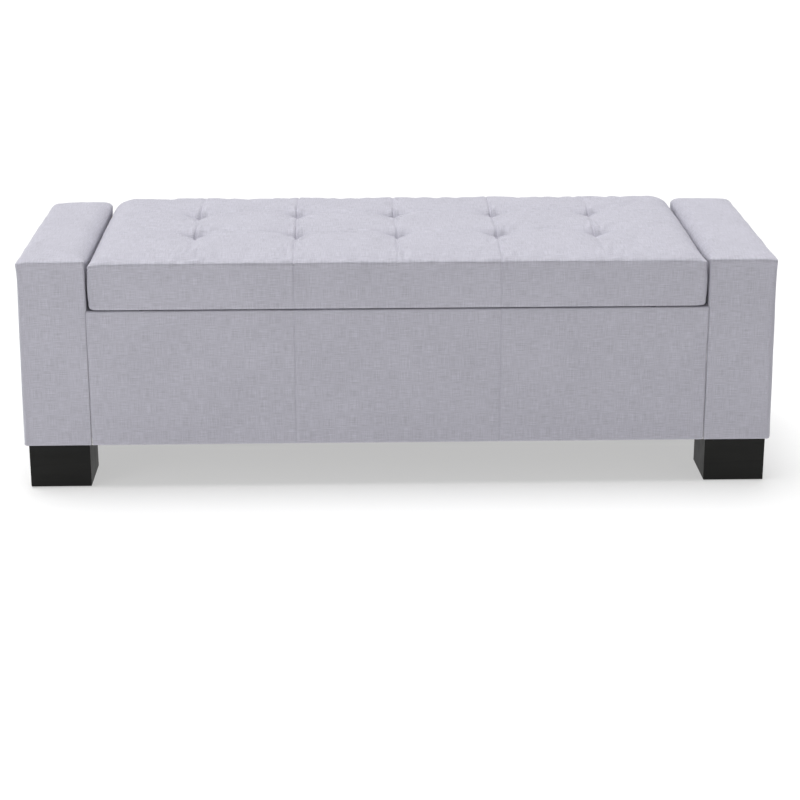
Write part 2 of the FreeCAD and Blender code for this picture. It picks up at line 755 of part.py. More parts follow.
def stay_points():
    """The pivots of a stay with the lid shut, as (y, z) expressions.

    The wall pivot, the lid pivot, the middle pivot and the hinge are the corners of a
    parallelogram, so both arms turn at the same rate as the lid.
    """
    wall = (f"({HINGE_Y} - dims.stay_forward)", "(dims.lid_parting - dims.stay_drop)")
    lid_pivot = (f"({HINGE_Y} - dims.stay_reach)", "(dims.lid_parting - dims.stay_dip)")
    middle = (f"({wall[0]} - dims.stay_reach)", f"({wall[1]} - dims.stay_dip)")
    return wall, middle, lid_pivot


def stay_bar(label, side, layer, start, end, bores):
    """A flat bar with round ends and a hole at each end, from one pivot to another."""
    rise = f"({end[1]} - {start[1]})"
    run = f"({end[0]} - {start[0]})"
    reach = f"sqrt({run} ^ 2 + {rise} ^ 2)"
    low = layer if side > 0 else f"-{layer} - dims.stay_bar"
    body = body_at(label, low, start[0], start[1])
    body.Placement = Placement(Vector(), Rotation(Vector(1, 0, 0), 30))
    place(body, low, start[0], start[1])
    body.setExpression("Placement.Rotation.Angle", f"atan2({rise}; {run})")
    outline = sketch_on(body, "YZ_Plane")
    slot(outline, reach, "dims.stay_half_width")
    pad(body, outline, "dims.stay_bar")
    holes = sketch_on(body, "YZ_Plane")
    circle(holes, "0", "0", bores[0])
    circle(holes, reach, "0", bores[1])
    pocket(body, holes)
    return body


def stud(label, side, near, far, at, head):
    """A round stud between two layers of a stay, with a head beyond the one named."""
    low, high = across(side, near, far)
    thick = "dims.rivet_head_height"
    span = (f"{near} - {thick}", near) if head == near else (far, f"{far} + {thick}")
    start = across(side, *span)[0]
    return [
        rod(f"{label}_shank", "dims.stay_pin", f"{high} - ({low})", (low, *at), "x"),
        rod(f"{label}_head", "dims.rivet_head", thick, (start, *at), "x"),
    ]


def wall_bracket(name, side, pivot):
    """The plate on the arm's inner board, with the stud that the lower arm turns on."""
    half = ("dims.wall_plate_width / 2", "dims.wall_plate_height / 2")
    plate = block(
        f"{name}_wall_plate",
        across(side, STAY_WALL, f"{STAY_WALL} + dims.plate"),
        (f"{pivot[0]} - {half[0]}", f"{pivot[0]} + {half[0]}"),
        (f"{pivot[1]} - {half[1]}", f"{pivot[1]} + {half[1]}"),
    )
    near = f"({STAY_LOWER} - dims.stay_gap / 2)"
    pieces = [plate] + stud(f"{name}_wall_stud", side, near, STAY_WALL, pivot, near)
    held = [
        screw(
            f"{name}_wall_screw_{index}",
            (signed(side, STAY_WALL), pivot[0], f"{pivot[1]} + {way} * dims.wall_plate_height * 0.36"),
            "x",
            side,
        )
        for index, way in enumerate((-1, 1), start=1)
    ]
    blank = joined(f"{name}_wall_bracket_blank", pieces)
    return cut(f"{name}_stay_wall_bracket", blank, held), held


def lid_bracket(name, side, pivot):
    """The angle plate under the lid, with the stud that the upper arm turns on."""
    under = f"({LID_BASE} - dims.felt)"
    ear_outer = f"({STAY_UPPER} - dims.stay_gap)"
    ear_inner = f"({ear_outer} - dims.plate)"
    half = "dims.lid_plate_length / 2"
    ear = block(
        f"{name}_lid_ear",
        across(side, ear_inner, ear_outer),
        (f"{pivot[0]} - dims.stay_half_width", f"{pivot[0]} + dims.stay_half_width"),
        (f"{pivot[1]} - dims.stay_half_width", under),
    )
    plate = block(
        f"{name}_lid_plate",
        across(side, f"{ear_outer} - dims.lid_plate_width", ear_outer),
        (f"{pivot[0]} - {half}", f"{pivot[0]} + {half}"),
        (f"{under} - dims.plate", under),
    )
    far = f"({STAY_UPPER} + dims.stay_bar + dims.stay_gap / 2)"
    pieces = [ear, plate] + stud(f"{name}_lid_stud", side, ear_inner, far, pivot, far)
    across_plate = signed(side, f"({ear_outer} - dims.lid_plate_width * 0.58)")
    held = [
        screw(
            f"{name}_lid_screw_{index}",
            (across_plate, f"{pivot[0]} + {way} * dims.lid_plate_length * 0.32", f"{under} - dims.plate"),
            "z",
            1,
        )
        for index, way in enumerate((-1, 1), start=1)
    ]
    blank = joined(f"{name}_lid_bracket_blank", pieces)
    return cut(f"{name}_stay_lid_bracket", blank, held), held


def stay(name, side):
    """One lid stay: a bracket on the wall, two arms, the rivet between them and a lid bracket."""
    wall, middle, lid_pivot = stay_points()
    tight = "dims.stay_bore"
    lower = stay_bar(f"{name}_stay_lower_arm", side, STAY_LOWER, wall, middle, (tight, tight))
    bores = ("dims.open_bore", tight)
    upper = stay_bar(f"{name}_stay_upper_arm", side, STAY_UPPER, middle, lid_pivot, bores)
    near = f"({STAY_UPPER} - dims.stay_gap / 2)"
    rivet = stud(f"{name}_middle", side, near, f"({STAY_LOWER} + dims.stay_bar)", middle, near)
    on_wall, box_screws = wall_bracket(name, side, wall)
    on_lid, lid_screws = lid_bracket(name, side, lid_pivot)
    nodes = [on_wall, lower, joined(f"{name}_stay_middle_rivet", rivet), upper, on_lid]
    return nodes, box_screws, lid_screws


def panel_screws():
    """The screws through each arm's inner board into the ends of the front and back boards."""
    pieces = []
    face = f"({ARM_BOARD_INNER} + dims.board)"
    lines = {"front": f"({FRONT_BOARD} + dims.board / 2)", "back": f"({BACK_WALL} + dims.board / 2)"}
    levels = {"low": f"({FLOOR_TOP} + dims.hem)", "high": f"({RAIL_BASE} - dims.hem)"}
    for side_name, side in SIDES.items():
        for line, y in lines.items():
            for level, z in levels.items():
                label = f"{side_name}_{line}_{level}_screw"
                at = (signed(side, face), y, z)
                pieces.append(screw(label, at, "x", -side, "dims.panel_screw_length"))
    return group("panel_screws", pieces)


def bumpers():
    """Two rubber buttons on the front top edge that the lid comes down on."""
    middle = f"(({FRONT} + {FRONT_WALL}) / 2)"
    height = "(dims.parting_gap - dims.bumper_gap)"
    pieces = []
    for name, side in SIDES.items():
        at = (signed(side, "dims.bumper_offset"), middle, BOX_TOP)
        pieces.append(rod(f"{name}_bumper", "dims.bumper_radius", height, at))
    return group("lid_bumpers", pieces)


def build():
    """Every node of the bench."""
    nodes = carcass()
    for name, side in SIDES.items():
        nodes += arm_boards(name, side)
        nodes += arm_padding(name, side)
        nodes.append(arm_cover(name, side))
    nodes += box_fabric()
    nodes += feet()
    nodes += lid()
    nodes += tufts()
    metal, box_screws, lid_screws = hinges()
    nodes += metal
    for name, side in SIDES.items():
        metal, on_box, on_lid = stay(name, side)
        nodes += metal
        box_screws += on_box
        lid_screws += on_lid
    nodes.append(group("box_screws", box_screws))
    nodes.append(group("lid_screws", lid_screws))
    nodes.append(panel_screws())
    nodes.append(bumpers())
    return nodes


def write(nodes):
    """Checks the whole document and writes each node's solids to its own file."""
    doc.recompute()
    for thing in doc.Objects:
        if "Invalid" in thing.State or "Error" in thing.State:
            raise ValueError(f"{thing.Name} failed: {thing.State}")
    os.makedirs("parts", exist_ok=True)
    for old in os.listdir("parts"):
        os.remove(os.path.join("parts", old))
    for node in nodes:
        if node.Shape.isNull() or not node.Shape.isValid() or not node.Shape.Solids:
            raise ValueError(f"{node.Label} has no valid solid")
        node.Shape.exportStep(os.path.join("parts", f"{node.Label}.step"))
    print(f"{len(nodes)} nodes written")


write(build())
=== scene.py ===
"""An upholstered storage bench: a tufted lid between two padded arms over a fabric box.

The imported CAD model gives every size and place. The boards, hardware and feet keep their CAD
shapes and get finishes here. The cushion, covers, padding and cloth linings are made new.
"""

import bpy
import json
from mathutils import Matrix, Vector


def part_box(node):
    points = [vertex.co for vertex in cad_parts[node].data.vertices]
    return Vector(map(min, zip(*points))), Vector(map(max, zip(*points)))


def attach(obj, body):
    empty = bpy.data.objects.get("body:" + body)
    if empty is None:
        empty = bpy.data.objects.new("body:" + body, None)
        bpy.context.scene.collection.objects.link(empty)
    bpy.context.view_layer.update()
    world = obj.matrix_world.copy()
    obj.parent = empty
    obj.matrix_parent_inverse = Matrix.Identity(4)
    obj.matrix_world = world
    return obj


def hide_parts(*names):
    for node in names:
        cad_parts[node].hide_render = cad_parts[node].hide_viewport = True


bl_info = {
    "name": "Storage bench",
    "version": (1, 0, 0),
    "blender": (4, 5, 0),
    "location": "View3D > Sidebar > Bench",
    "description": "Builds the cushion, covers, linings and finishes of a storage bench",
    "category": "Add Mesh",
}

import json
import math

import bpy
import numpy as np

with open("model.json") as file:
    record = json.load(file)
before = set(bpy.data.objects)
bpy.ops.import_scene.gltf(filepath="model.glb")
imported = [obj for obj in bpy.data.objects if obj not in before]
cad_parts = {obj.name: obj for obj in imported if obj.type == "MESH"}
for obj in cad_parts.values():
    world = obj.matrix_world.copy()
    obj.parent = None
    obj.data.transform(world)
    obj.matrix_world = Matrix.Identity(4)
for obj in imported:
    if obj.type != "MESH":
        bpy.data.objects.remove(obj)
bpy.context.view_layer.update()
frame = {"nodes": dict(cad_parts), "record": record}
NODES = frame["nodes"]

LID_LOW, LID_HIGH = (np.array(corner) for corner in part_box("lid_cover"))
BOX_LOW, BOX_HIGH = (np.array(corner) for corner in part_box("front_cover"))
BACK_LOW, BACK_HIGH = (np.array(corner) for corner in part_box("back_cover"))
ARM_LOW, ARM_HIGH = (np.array(corner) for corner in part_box("right_arm_cover"))
LINER_LOW, LINER_HIGH = (np.array(corner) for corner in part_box("storage_liner"))
WASHER_LOW, WASHER_HIGH = (np.array(corner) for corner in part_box("tuft_washers"))
WASHER_WIDTH = 0.024

FRONT_SEAM_Z = 0.404  # the lid's and the arms' front seams
TUFTS_X = np.linspace(WASHER_LOW[0] + WASHER_WIDTH / 2, WASHER_HIGH[0] - WASHER_WIDTH / 2, 5)
TUFTS_Y = np.array([WASHER_LOW[1] + WASHER_WIDTH / 2, WASHER_HIGH[1] - WASHER_WIDTH / 2])
SEAMS_X = TUFTS_X[[1, 3]]

CREASE_BACK = (0.014, 0.008)  # how far each row's creases lie behind its ties
TUFT_WIDTH = (0.022, 0.031)
TUFT_SLANT = (0.20, 0.32)
TUFT_BEHIND, TUFT_AHEAD = 0.0105, 0.036
PLEAT_LENGTH, PLEAT_STRENGTH = (0.028, 0.040), (0.8, 1.2)
CREASE_LENGTH, CREASE_SHIFT = (0.032, 0.046), (-0.002, 0.003)

LID_HEM, HEM = 0.030, 0.025
CLEARANCE = 0.0004  # between a cover's inner face and its padding

CLOTH_SIMULATION = {
    "quality": 6,
    "mass": 0.25,
    "tension_stiffness": 25.0,
    "compression_stiffness": 25.0,
    "shear_stiffness": 8.0,
    "bending_stiffness": 0.6,
    "shrink_min": -0.014,
    "use_pressure": True,
    "uniform_pressure_force": 4.0,
}
FRAMES = 20


def length(name, default, description):
    """A length in metres that a user can change."""
    return bpy.props.FloatProperty(
        name=name, description=description, default=default, unit="LENGTH", subtype="DISTANCE"
    )


class ClothSettings(bpy.types.PropertyGroup):
    """The woven fabric of the covers."""

    colour: bpy.props.FloatVectorProperty(
        name="Cloth colour",
        description="Base colour of the woven covers",
        default=(0.498, 0.490, 0.553),
        subtype="COLOR",
        size=3,
        min=0.0,
        max=1.0,
    )
    thickness: length("Cloth thickness", 0.0012, "Thickness of the cover fabric")
    thread: length("Thread pitch", 0.0011, "Distance between neighbouring threads of the weave")
    seam_depth: length("Seam depth", 0.0014, "How far a sewn seam is drawn in")


class LidSettings(bpy.types.PropertyGroup):
    """The tufted lid cushion."""

    edge_rise: length(
        "Edge rise", 0.008,
        "How far the top swells above the seam just inside its edge",
    )
    crown: length("Crown", 0.0115, "Further rise of the cushion's top from its front to its back")
    bulge: length("Bulge", 0.0035, "Further rise halfway between the cushion's front and back")
    end_roll: length("End roll", 0.030, "How far in from each end the cushion starts to roll over")
    end_dip: length("End dip", 0.008, "How far the rim at each end lies below the front seam")
    tuft_depth: length("Tuft depth", 0.0140, "How far each tuft is drawn below the cushion's top")
    fold: length("Fold height", 0.0022, "Limit on the height of the cloth's simulated folds")
    pleat: length("Pleat depth", 0.0042, "Depth of the short folds that run out from each tuft")


class ArmSettings(bpy.types.PropertyGroup):
    """The padded arms."""

    edge_rise: length(
        "Edge rise", 0.0050,
        "How far the arm's top swells above its front and back seams",
    )
    crown: length("Crown", 0.0025, "Further rise from the edges to the middle of the arm")
    back_seam: length(
        "Back seam height", 0.410,
        "Height of the seam along the back of the arm's top",
    )
    inner_roll: length(
        "Inner roll", 0.018,
        "How far the arm's inner edge rolls down halfway along",
    )
    outer_roll: length(
        "Outer roll", 0.012,
        "How far the arm's outer edge rolls down halfway along",
    )
    outer_radius: length(
        "Outer corner radius", 0.007,
        "Radius of the arm's outer upright edges, seen from above",
    )


class StageSettings(bpy.types.PropertyGroup):
    """The floor, lights and camera."""

    surround: bpy.props.FloatProperty(
        name="Surround light",
        description="Strength of the even light from above; the horizon is white",
        default=0.22,
        min=0.0,
    )
    overhead: bpy.props.FloatProperty(
        name="Overhead light",
        description="Strength of the broad light overhead",
        default=3.36,
        min=0.0,
    )
    side: bpy.props.FloatProperty(
        name="Side light",
        description="Power of the weaker light from the front left",
        default=4.1,
        min=0.0,
        unit="POWER",
    )
    glow: bpy.props.FloatProperty(
        name="Floor glow",
        description="How strongly the lit white floor shines by itself",
        default=0.485,
        min=0.0,
    )
    lens: bpy.props.FloatProperty(
        name="Lens",
        description="Focal length of the camera",
        default=90.04,
        unit="CAMERA",
    )


# ---------------------------------------------------------------------------- arrays


def spaced(low, high, step, marks=(), fine=0.0, reach=0.0):
    """Positions from low to high about step apart, and fine apart within reach of each mark.

    The density of points, 1/step plus a smooth bump at each mark, is added up along the line,
    and the positions are read off at equal shares of the total.
    """
    line = np.linspace(low, high, 4001)
    density = np.full_like(line, 1.0 / step)
    for mark in marks:
        bump = np.exp(-(((line - mark) / reach) ** 4))
        density = np.maximum(density, 1.0 / step + (1.0 / fine - 1.0 / step) * bump)
    total = np.concatenate([[0.0], np.cumsum((density[1:] + density[:-1]) / 2 * np.diff(line))])
    count = int(math.ceil(total[-1]))
    return np.interp(np.linspace(0.0, total[-1], count + 1), total, line)


def ripple(u, v, seed, length, terms=14):
    """An even, repeatable unevenness between about -1 and 1.

    It is a sum of sine waves of about the given length, in directions and phases drawn from a
    seeded generator, divided by the square root of their number.
    """
    rng = np.random.default_rng(seed)
    total = np.zeros(np.broadcast(u, v).shape)
    for _ in range(terms):
        turn, phase, stretch = rng.uniform(0, 2 * math.pi, 2).tolist() + [rng.uniform(0.6, 1.7)]
        wave = 2 * math.pi / (length * stretch)
        total += np.sin(wave * (u * math.cos(turn) + v * math.sin(turn)) + phase)
    return total / math.sqrt(terms)


def bell(distance, width):
    """A bell curve, 1 at no distance."""
    return np.exp(-((distance / width) ** 2))


def rise(distance, run):
    """Goes from 0 at no distance towards 1, by about two thirds over each run."""
    return 1.0 - np.exp(-np.maximum(distance, 0.0) / run)


def rounded_plan(x, y, a, b, inner_radius, outer_radius, side=1):
    """Moves grid points within a rectangle of half sizes a and b so its corners become arcs.

    In each corner's square, a point (p, q) goes to (p sqrt(1 - q^2/2), q sqrt(1 - p^2/2)),
    which takes the square's outline to a quarter circle. The corners on side get outer_radius.
    """
    r = np.where(x * side > 0, outer_radius, inner_radius)
    p = np.clip((np.abs(x) - (a - r)) / r, 0, 1)
    q = np.clip((np.abs(y) - (b - r)) / r, 0, 1)
    px = p * np.sqrt(1 - q * q / 2)
    qy = q * np.sqrt(1 - p * p / 2)
    return (
        np.sign(x) * (np.minimum(np.abs(x), a - r) + r * px),
        np.sign(y) * (np.minimum(np.abs(y), b - r) + r * qy),
    )


def rim_order(m, n):
    """The indices of an m by n grid's rim, in order, anticlockwise from its first corner."""
    index = np.arange(m * n).reshape(m, n)
    return np.concatenate([index[:, 0], index[-1, 1:], index[-2::-1, -1], index[0, -2:0:-1]])


def grid_quads(m, n):
    """The faces of an m by n grid of points, with the second index running fastest."""
    i, j = np.meshgrid(np.arange(m - 1), np.arange(n - 1), indexing="ij")
    a = (i * n + j).ravel()
    return np.stack([a, a + n, a + n + 1, a + 1], axis=1)


def strip_quads(rings):
    """The faces between closed rings of point indices, listed from the top ring down."""
    faces = []
    for upper, lower in zip(rings[:-1], rings[1:]):
        faces.append(
            np.stack([upper, lower, np.roll(lower, -1), np.roll(upper, -1)], axis=1)
        )
    return np.concatenate(faces)


# ---------------------------------------------------------------------------- pieces


def piece(name, points, quads, uv, material, body, smooth=True):
    """A mesh object at the origin from arrays of points, four-sided faces and cloth places."""
    mesh = bpy.data.meshes.new(name)
    mesh.vertices.add(len(points))
    mesh.vertices.foreach_set("co", np.asarray(points, np.float32).ravel())
    corners = np.asarray(quads, np.int32).ravel()
    mesh.loops.add(len(corners))
    mesh.loops.foreach_set("vertex_index", corners)
    mesh.polygons.add(len(quads))
    mesh.polygons.foreach_set("loop_start", np.arange(0, len(corners), 4, dtype=np.int32))
    mesh.update(calc_edges=True)
    mesh.polygons.foreach_set("use_smooth", np.full(len(quads), smooth))
    if uv is not None:
        layer = mesh.uv_layers.new(name="cloth")
        layer.data.foreach_set("uv", np.asarray(uv, np.float32)[corners].ravel())
    mesh.materials.append(material)
    obj = bpy.data.objects.new(name, mesh)
    bpy.context.scene.collection.objects.link(obj)
    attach(obj, body)
    return obj


def thicken(obj, thickness):
    """Gives a skin its thickness inwards, leaving its outer face where it is."""
    solid = obj.modifiers.new("Thickness", "SOLIDIFY")
    solid.thickness = thickness
    solid.offset = -1.0
    solid.use_even_offset = False
    return obj


def boxed_skin(x, y, top, rows, side=1, radii=(0.008, 0.008)):
    """The points, faces and cloth places of a boxed cover: a top panel and a wall round it.

    x and y are the top panel's grid positions about its middle and top(x, y) its height. The
    wall runs down from the panel's rim: each row gives, for the rim's place, outward direction
    and height, where it lies. The last rows run in under the bottom.
    """
    gx, gy = np.meshgrid(x, y, indexing="ij")
    a, b = x[-1], y[-1]
    px, py = rounded_plan(gx, gy, a, b, radii[0], radii[1], side)
    height = top(px, py)
    m, n = gx.shape
    rim = rim_order(m, n)
    rx, ry, rz = px.ravel()[rim], py.ravel()[rim], height.ravel()[rim]
    r = np.where(rx * side > 0, radii[1], radii[0])
    nx = rx - np.sign(rx) * np.minimum(np.abs(rx), a - r)
    ny = ry - np.sign(ry) * np.minimum(np.abs(ry), b - r)
    size = np.maximum(np.hypot(nx, ny), 1e-9)
    nx, ny = nx / size, ny / size
    points = [np.stack([px.ravel(), py.ravel(), height.ravel()], axis=1)]
    cloth = [np.stack([px.ravel(), py.ravel()], axis=1)]
    rings = [rim]
    start = m * n
    last = points[0][rim]
    run = np.zeros(len(rim))
    for wx, wy, wz in rows(rx, ry, rz, nx, ny):
        ring = np.stack([wx, wy, wz], axis=1)
        run = run + np.linalg.norm(ring - last, axis=1)
        last = ring
        points.append(ring)
        cloth.append(np.stack([rx + nx * run, ry + ny * run], axis=1))
        rings.append(np.arange(start, start + len(rim)))
        start += len(rim)
    faces = [grid_quads(m, n), strip_quads(rings)]
    return np.concatenate(points), np.concatenate(faces), np.concatenate(cloth)


def lid_plan():
    """The lid cushion's middle and half sizes, seen from above."""
    middle = (LID_LOW + LID_HIGH) / 2
    half = (LID_HIGH - LID_LOW) / 2
    return middle[:2], half[:2]


def rolled_over(inside, run):
    """How far a padded edge has rolled over: 1 at the rim, 0 from run inwards, as an ellipse."""
    share = np.clip(1 - inside / run, 0, 1)
    return 1 - np.sqrt(np.maximum(1 - share * share, 0.0))


def lid_swell(x, y):
    """The height of the lid's padding at (x, y) about its middle, before it is tufted.

    Across the bench it rises from the front seam by an exponential of the distance to the
    edge, keeps rising by a parabola to the back, bulges in the middle by a half sine wave, and
    drops by an exponential to the back seam. At the ends it rolls over in a quarter of an
    ellipse to a lower rim.
    """
    s = bpy.context.scene.bench_lid
    _, (a, b) = lid_plan()
    front, back, end = y + b, b - y, a - np.abs(x)
    share = np.clip((y + b) / (2 * b), 0, 1)
    rim = FRONT_SEAM_Z - 0.005 * np.exp(-end / 0.016)
    z = rim + s.edge_rise * rise(front, 0.009) + s.crown * (1 - (1 - share) ** 2)
    z = z - s.edge_rise * np.exp(-np.maximum(back, 0) / 0.008)
    z = z + s.bulge * np.sin(math.pi * share)
    away = rise(front, 0.030)
    low = rim - s.end_dip * away
    return z - (z - low) * rolled_over(end, 0.012 + s.end_roll * away)


def lid_height(x, y):
    """The height of the cushion's cover at (x, y) about its middle.

    From the padding's swell, each tuft draws it down: gently in front, steeply behind, and
    fading to the sides, by exponentials of the distances from a line that slants back to the
    sides as a hyperbolic tangent. Pleats run out from each tuft, two sewn seams cross the
    cushion with a lighter crease in the middle, and small puckers stand along the front and
    back seams.
    """
    s = bpy.context.scene.bench_lid
    cloth = bpy.context.scene.bench_cloth
    middle, (a, b) = lid_plan()
    dx, dy = a - np.abs(x), b - np.abs(y)
    soft = rise(dx, 0.03) * rise(dy, 0.03)
    z = lid_swell(x, y) + 0.0008 * soft * ripple(x, y, 5, 0.11)
    tx, ty = TUFTS_X - middle[0], TUFTS_Y - middle[1]
    for column, cx in enumerate(tx):
        for row, cy in enumerate(ty):
            rng = np.random.default_rng(column * 2 + row + 70)
            ux, uy = x - cx - rng.uniform(-0.003, 0.003), y - cy - CREASE_BACK[row]
            wide = np.where(ux > 0, rng.uniform(*TUFT_WIDTH), rng.uniform(*TUFT_WIDTH))
            across = np.exp(-((np.abs(ux) / wide) ** 1.2))
            line = uy - rng.uniform(*TUFT_SLANT) * 0.04 * np.tanh(np.abs(ux) / 0.04)
            behind = np.exp(-((np.maximum(line, 0) / TUFT_BEHIND) ** 1.5))
            ahead = np.exp(-((np.maximum(-line, 0) / TUFT_AHEAD) ** 1.3))
            z = z - s.tuft_depth * across * behind * ahead
            z = z - 0.0020 * np.exp(-((np.hypot(ux, uy) / 0.055) ** 2))
            z = z + pleats(ux, line, column * 2 + row)
    for column, depth in ((1, 1.0), (3, 1.0), (2, 0.7)):
        ux = np.abs(x - tx[column])
        z = z - depth * cloth.seam_depth * (bell(ux, 0.0018) - 0.35 * bell(ux - 0.0048, 0.004))
    pucker = ripple(x, y * 0.25, 11, 0.022) * np.exp(-dy / 0.014) * rise(dy, 0.004)
    return z + 0.0007 * pucker + 0.0012 * bell(dy - 0.004, 0.003) * rise(dx, 0.006)


def pleats(ux, uy, seed):
    """The folds that run out from one tuft, as a height at (ux, uy) from it.

    Two narrow grooves run to the sides with a soft lip in front, and one runs straight back
    between two lips. Each is a bell curve across, and fades exponentially along its length.
    """
    depth = bpy.context.scene.bench_lid.pleat
    rng = np.random.default_rng(seed + 300)
    total = np.zeros_like(ux)
    for way in (-1, 1):
        length, strength = rng.uniform(*PLEAT_LENGTH), rng.uniform(*PLEAT_STRENGTH)
        along = np.maximum(ux * way, 0)
        fade = strength * np.exp(-((along / length) ** 1.6)) * rise(along, 0.002)
        total = total - 0.6 * depth * fade * bell(uy, 0.0024)
        total = total + 0.55 * depth * fade * bell(uy + 0.0070, 0.0040)
    length, shift = rng.uniform(*CREASE_LENGTH), rng.uniform(*CREASE_SHIFT)
    back = np.maximum(uy, 0)
    fade = np.exp(-((back / length) ** 2)) * (uy > -0.003)
    line = ux - shift * rise(back, 0.01)
    total = total - depth * fade * bell(line, 0.0020)
    return total + 0.40 * depth * fade * (bell(line - 0.0060, 0.004) + bell(line + 0.0060, 0.004))


def lid_wall(s_low, hem):
    """How the lid's wall runs: a slight belly, a rounded bottom edge and a hem underneath."""
    middle, (a, b) = lid_plan()
    cloth = bpy.context.scene.bench_cloth
    tx = TUFTS_X - middle[0]

    def rows(rx, ry, rz, nx, ny):
        radius = 0.005
        lift = 0.0030 * np.exp(-(a - np.abs(rx)) / 0.006) * np.exp(-(b - np.abs(ry)) / 0.006)
        low = s_low + lift - 0.0019 * (ny < -0.5)
        along = np.where(np.abs(nx) > 0.5, ry, rx)
        groove = np.zeros_like(rx)
        for column in (1, 3):
            ux = rx - tx[column]
            groove = groove + cloth.seam_depth * (
                bell(ux, 0.0016) - 0.35 * bell(np.abs(ux) - 0.0045, 0.004)
            )
        groove = groove * (np.abs(ny) > 0.5)
        height = rz - low - radius
        for share in np.concatenate([[0.012, 0.03, 0.05, 0.075, 0.105], np.linspace(0.14, 1, 20)]):
            down = share * height
            pucker = 0.0005 * ripple(along, down * 0.3, 23, 0.024) * np.exp(-down / 0.016)
            belly = 0.0012 * np.sin(math.pi * np.minimum(share * 1.1, 1)) ** 0.7
            out = belly + pucker * (1 - np.exp(-down / 0.003)) - groove * (1 - 0.6 * share ** 6)
            sewn = np.abs(ny) ** 2
            out = out + sewn * (0.0006 * bell(down - 0.004, 0.003) - 0.0012 * bell(down, 0.0022))
            out = out + 0.0004 * ripple(along, down, 29, 0.09)
            yield rx + nx * out, ry + ny * out, rz - down
        for turn in np.linspace(0, math.pi / 2, 7)[1:]:
            out = -radius * (1 - np.cos(turn)) - groove * 0.4
            yield rx + nx * out, ry + ny * out, low + radius * (1 - np.sin(turn))
        for share in (0.3, 0.6, 1.0):
            fx = (a - radius - share * (hem - radius)) / a
            fy = (b - radius - share * (hem - radius)) / b
            yield rx * fx, ry * fy, low * (1 - share) + s_low * share

    return rows


def placed(points, middle):
    """Moves points from about a piece's middle to their place on the bench."""
    return points + np.array([middle[0], middle[1], 0.0])


def simulated_cloth(points, faces, held):
    """Blows a sheet up as cloth from given points, with some held, and returns where it ends.

    The sheet is cut a little larger than its frame, so that it gathers into folds where it
    is held.
    """
    scene = bpy.context.scene
    mesh = bpy.data.meshes.new("cloth trial")
    mesh.from_pydata(points.tolist(), [], faces.tolist())
    sheet = bpy.data.objects.new("cloth trial", mesh)
    scene.collection.objects.link(sheet)
    sheet.vertex_groups.new(name="held").add(held.tolist(), 1.0, "REPLACE")
    cloth = sheet.modifiers.new("Cloth", "CLOTH")
    for label, value in CLOTH_SIMULATION.items():
        setattr(cloth.settings, label, value)
    cloth.settings.vertex_group_mass = "held"
    cloth.settings.effector_weights.gravity = 0.0
    cloth.point_cache.frame_start, cloth.point_cache.frame_end = 1, FRAMES
    for number in range(1, FRAMES + 1):
        scene.frame_set(number)
    settled = sheet.evaluated_get(bpy.context.evaluated_depsgraph_get()).to_mesh()
    ended = np.empty(len(points) * 3, np.float32)
    settled.vertices.foreach_get("co", ended)
    scene.frame_set(1)
    bpy.data.objects.remove(sheet)
    bpy.data.meshes.remove(mesh)
    return ended.reshape(-1, 3).astype(float)


def cubic_lookup(table, low, step):
    """A smooth function through a table of values, by Catmull-Rom weights in both directions."""

    def weights(share):
        return (
            ((-share + 2) * share - 1) * share / 2,
            ((3 * share - 5) * share) * share / 2 + 1,
            ((-3 * share + 4) * share + 1) * share / 2,
            ((share - 1) * share) * share / 2,
        )

    def value(x, y):
        u, v = (x - low[0]) / step[0], (y - low[1]) / step[1]
        i = np.clip(np.floor(u).astype(int), 0, table.shape[0] - 2)
        j = np.clip(np.floor(v).astype(int), 0, table.shape[1] - 2)
        total = np.zeros(np.broadcast(x, y).shape)
        for m, wu in enumerate(weights(np.clip(u - i, 0, 1))):
            for n, wv in enumerate(weights(np.clip(v - j, 0, 1))):
                row = np.clip(i + m - 1, 0, table.shape[0] - 1)
                column = np.clip(j + n - 1, 0, table.shape[1] - 1)
                total = total + wu * wv * table[row, column]
        return total

    return value


def lid_folds():
    """The small folds of the lid's cloth, simulated, as a height to add at (x, y).

    A sheet over the cushion is held at its rim and at the tufts and blown up. Its rise, less
    the broad part of it, is what is kept, and it is limited by a hyperbolic tangent.
    """
    s = bpy.context.scene.bench_lid
    middle, (a, b) = lid_plan()
    x, y = np.linspace(-a, a, 213), np.linspace(-b, b, 90)
    gx, gy = np.meshgrid(x, y, indexing="ij")
    gz = lid_height(gx, gy)
    rim_width, tuft_radius = 0.003, 0.006
    held = (a - np.abs(gx) < rim_width) | (b - np.abs(gy) < rim_width)
    for cx in TUFTS_X - middle[0]:
        for cy, back in zip(TUFTS_Y - middle[1], CREASE_BACK):
            held |= np.hypot(gx - cx, gy - cy - back) < tuft_radius
    points = np.stack([gx, gy, gz], axis=-1).reshape(-1, 3)
    ended = simulated_cloth(points, grid_quads(len(x), len(y)), np.flatnonzero(held))
    lifted = ended[:, 2].reshape(gx.shape) - gz
    kernel = bell(np.linspace(-0.04, 0.04, 17), 0.018)
    kernel = kernel / kernel.sum()
    broad = np.pad(lifted, len(kernel) // 2, mode="edge")
    for axis in (0, 1):
        broad = np.apply_along_axis(np.convolve, axis, broad, kernel, "valid")
    folds = s.fold * np.tanh((lifted - broad) / s.fold)
    return cubic_lookup(folds, (-a, -b), (x[1] - x[0], y[1] - y[0]))


def lid_foam_top(x, y):
    """The height of the foam's top: the padding's swell, drawn well down at each tuft."""
    middle, _ = lid_plan()
    z = lid_swell(x * 0.992, y * 0.985) - 0.0065
    for cx in TUFTS_X - middle[0]:
        for cy in TUFTS_Y - middle[1]:
            z = z - 0.014 * np.exp(-((np.hypot(x - cx, y - cy - 0.010) / 0.038) ** 2))
    return z


